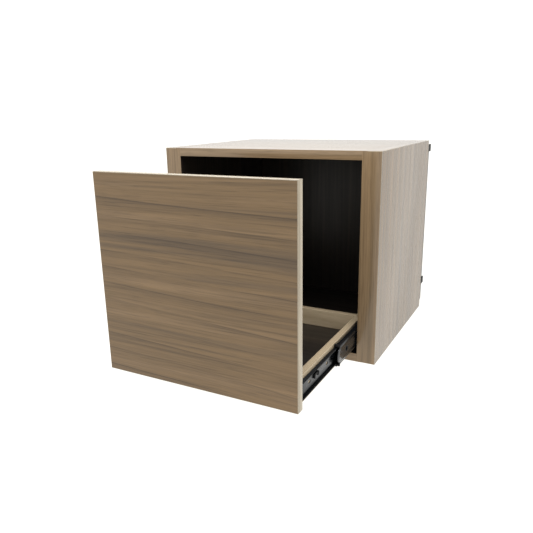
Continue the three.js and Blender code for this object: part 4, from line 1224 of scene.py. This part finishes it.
def birch_veneer(name, grain, shift):
    """Birch veneer under thin lacquer: pale tan and satin, with a soft wavy figure and pores that
    are drawn coarser than the real ones, or they would be too fine to show."""
    material, add, shader = new_material(name, Roughness=0.45, IOR=1.5)
    place = add("TexCoord")["Object"]
    inputs = {"Vector": place, "Location": (shift,) * 3, "Scale": per_metre(grain, 200, 22)}
    inputs = {"Vector": add("Mapping", inputs)["Vector"], "Scale": 1.0, "Detail": 4.0}
    figure = add("TexNoise", inputs)["Fac"]
    colour = add("ValToRGB", {"Fac": figure}, [(0.32, BIRCH_DARK), (0.6, BIRCH)])["Color"]
    inputs = {"Vector": place, "Scale": per_metre(grain, 17, 0.9)}
    inputs = {"Vector": add("Mapping", inputs)["Vector"], "Scale": 1.0, "Detail": 1.0}
    pores = add("TexNoise", inputs)["Fac"]
    tone = add("ValToRGB", {"Fac": pores}, [(0.32, 0.7), (0.45, 1.0)])["Color"]
    pored = add("Mix", {0: 0.5, 6: colour, 7: tone}, **COLOUR_MULTIPLY)[2]
    raised = add("Bump", {"Height": pores, "Distance": 0.04 * MM})["Normal"]
    join_up(shader, {"Base Color": pored, "Normal": raised})
    return material


def birch_plies(name, across, start):
    """The edge of birch plywood: plies of end and side grain that alternate pale and dark."""
    material, add, shader = new_material(name, Roughness=0.6)
    place = add("TexCoord")["Object"]
    reach = add("SeparateXYZ", {"Vector": place})[across]
    depth = add("Math", {0: reach, 1: start}, operation="SUBTRACT")["Value"]
    inputs = {0: depth, 1: 2 * PLY_THICKNESS}
    plies = add("Math", inputs, operation="DIVIDE")["Value"]
    phase = add("Math", {0: plies}, operation="FRACT")["Value"]
    stops = [(0.0, BIRCH), (0.47, BIRCH), (0.53, PLY_DARK), (0.95, BIRCH_DARK)]
    colour = add("ValToRGB", {"Fac": phase}, stops)["Color"]
    inputs = {"Vector": place, "Scale": 1 / END_FIBRE, "Detail": 3.0}
    fibres = add("TexNoise", inputs)["Fac"]
    tone = add("ValToRGB", {"Fac": fibres}, [(0.3, 0.75), (0.6, 1.05)])["Color"]
    fibred = add("Mix", {0: 0.5, 6: colour, 7: tone}, **COLOUR_MULTIPLY)[2]
    raised = add("Bump", {"Height": fibres, "Distance": 0.06 * MM})["Normal"]
    join_up(shader, {"Base Color": fibred, "Normal": raised})
    return material


VENEER_DEEP = birch_veneer("birch veneer, grain front to back", "Y", 0.0)
VENEER_ACROSS = birch_veneer("birch veneer, grain across", "X", 2.0)

for place, node in (
    ("front", "drawer_box_front"),
    ("back", "drawer_box_back"),
    ("left", "drawer_left_side"),
    ("right", "drawer_right_side"),
):
    low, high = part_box(node)
    box_board = board(f"box_{place}_board", low, high, BOX_ROUNDING)
    groove_for(box_board, "drawer_bottom")
    if place in HANDS:
        across, veneer = "X", VENEER_DEEP
        for end in ("front", "back"):
            groove_for(box_board, f"drawer_box_{end}", 2 * GROOVE_GAP)
        for number in (1, 2):
            drill_for_screw(box_board, f"{place}_drawer_member_screw_{number}", "X", PILOT_HOLE)
    else:
        across, veneer = "Y", VENEER_ACROSS
    if place == "front":
        for hand in HANDS:
            drill_for_screw(box_board, f"drawer_front_{hand}_screw", "Y", CLEARANCE_HOLE)
    part = node.removeprefix("drawer_").replace("_", " ")
    plies = birch_plies(f"birch ply edge, {part}", across, low["XYZ".index(across)])
    dress_board(box_board, {"+" + across: veneer, "-" + across: veneer}, plies, body=plies)
    fit(box_board, "drawer", node)

bottom = board("box_bottom_board", *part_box("drawer_bottom"), BACK_ROUNDING)
dress_board(bottom, {side: BLACK_ACROSS for side in SIDE_NORMALS}, CHIPBOARD, body=BLACK_ACROSS)
fit(bottom, "drawer", "drawer_bottom")


# Drawer front. Board faced with the same print as the case, its grain across, and banded on all
# four edges. Two screws from inside the box hold it.
FRONT_ROUNDING = 0.8 * MM
FRONT_BAND_SHADES = ("A49781", "B0A38C", "BAAE98", "8F826C")
GRAIN_FRONT = printed_oak("printed oak melamine, drawer front", "X", (0.05, 0.2, 0.97), 1.3)
PALE_BAND_UP = printed_oak(
    "pale printed ABS edge band, grain up", "Z", (0.5, 0.87, 0), 5.0, FRONT_BAND_SHADES, growth=0.2
)
PALE_BAND_ACROSS = printed_oak(
    "pale printed ABS edge band, grain across", "X", (0, 0.9, 0.4), 6.0,
    FRONT_BAND_SHADES, growth=0.2,
)

bands = ["-X", "+X", "-Z", "+Z"]
front = board("front_board", *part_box("drawer_front"), FRONT_ROUNDING, bands)
for hand in HANDS:
    drill_for_screw(front, f"drawer_front_{hand}_screw", "Y", PILOT_HOLE)
faces = {"-Y": GRAIN_FRONT, "+Y": GRAIN_FRONT, "+X": PALE_BAND_UP, "-X": PALE_BAND_UP}
faces |= {"+Z": PALE_BAND_ACROSS, "-Z": PALE_BAND_ACROSS}
dress_board(front, faces, CHIPBOARD, bands)
fit(front, "drawer", "drawer_front")

drive_in(pan_screw("drawer_front_right_screw", "Y"), PAN_HEAD_HEIGHT, "drawer", {
    f"front_{hand}_pan_screw": (f"drawer_front_{hand}_screw", "+Y") for hand in HANDS
})


# Studio. A white acrylic table lit from below, as for product photographs, before a bright backdrop
# and a room that is darker higher up. A softbox hangs over the drawer.
TABLE_SIZE = 30
TABLE_WHITE = (0.15, 0.15, 0.15, 1)
TABLE_GLOW = 1.08
TABLE_TINT = (1.0, 0.985, 0.94, 1)
BACKDROP = 1.25
CEILING = 0.4
ROOM = 0.75
ROOM_LOW = 1.03
BACKDROP_TINT = (1.0, 0.995, 0.975, 1)
SOFTBOX_PLACE = (0.05, -0.35, 0.8)
SOFTBOX_LENGTH, SOFTBOX_WIDTH = 0.7, 0.4
SOFTBOX_WATTS = 4.4
CEILING_LIGHT = 1.2
CEILING_SPREAD = math.radians(80)
CEILING_TURN = (math.radians(12), math.radians(-6), 0)

bpy.ops.mesh.primitive_plane_add(size=TABLE_SIZE)
table = name_piece("table")
glow = {"Emission_Color": TABLE_TINT, "Emission_Strength": TABLE_GLOW}
acrylic, _, _ = new_material("matt white acrylic", Base_Color=TABLE_WHITE, Roughness=0.9, **glow)
table.data.materials.append(acrylic)
table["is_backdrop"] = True

world = bpy.data.worlds.new("white surround")
bpy.context.scene.world = world
world.use_nodes = True
add = partial(add_node, world.node_tree)
way = add("SeparateXYZ", {"Vector": add("TexCoord")["Generated"]})
stops = [(0.22, BACKDROP_TINT), (0.5, CEILING / BACKDROP)]
upwards = add("ValToRGB", {"Fac": way["Z"]}, stops)["Color"]
stops = [(0.0, ROOM / BACKDROP), (0.2, 1.0)]
rearwards = add("ValToRGB", {"Fac": way["Y"]}, stops)["Color"]
stops = [(0.25, (BACKDROP - ROOM_LOW) / (BACKDROP - ROOM)), (0.45, 1.0)]
share = add("ValToRGB", {"Fac": way["Z"]}, stops)["Color"]
surround = add("Mix", {0: share, 6: upwards, 7: rearwards}, **COLOUR_MULTIPLY)[2]
join_up(world.node_tree.nodes["Background"], {"Color": surround, "Strength": BACKDROP})

bpy.ops.object.light_add(type="AREA", location=SOFTBOX_PLACE)
softbox = bpy.context.object
softbox.name = "overhead softbox"
softbox.data.shape = "RECTANGLE"
softbox.data.size, softbox.data.size_y = SOFTBOX_LENGTH, SOFTBOX_WIDTH
softbox.data.energy = SOFTBOX_WATTS

bpy.ops.object.light_add(type="SUN", rotation=CEILING_TURN)
sun = bpy.context.object
sun.name = "broad ceiling light"
sun.data.energy, sun.data.angle = CEILING_LIGHT, CEILING_SPREAD


# Camera. Its place, its turn and its lens were fitted to the straight edges of the case as they run
# in the photograph, which is a square frame.
LENS, SENSOR = 37.51, 36
CAMERA_PLACE = (0.4932, -1.1077, 0.4549)
CAMERA_HEADING, CAMERA_DIP, CAMERA_ROLL = 27.93, 15.47, -0.99

turn = (
    Matrix.Rotation(math.radians(CAMERA_HEADING), 4, "Z")
    @ Matrix.Rotation(math.radians(90 - CAMERA_DIP), 4, "X")
    @ Matrix.Rotation(math.radians(CAMERA_ROLL), 4, "Z")
)
bpy.ops.object.camera_add(location=CAMERA_PLACE, rotation=turn.to_euler())
camera = bpy.context.object
camera.data.sensor_width, camera.data.lens = SENSOR, LENS
bpy.context.scene.camera = camera
bpy.context.scene.view_settings.view_transform = "Standard"

low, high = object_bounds()
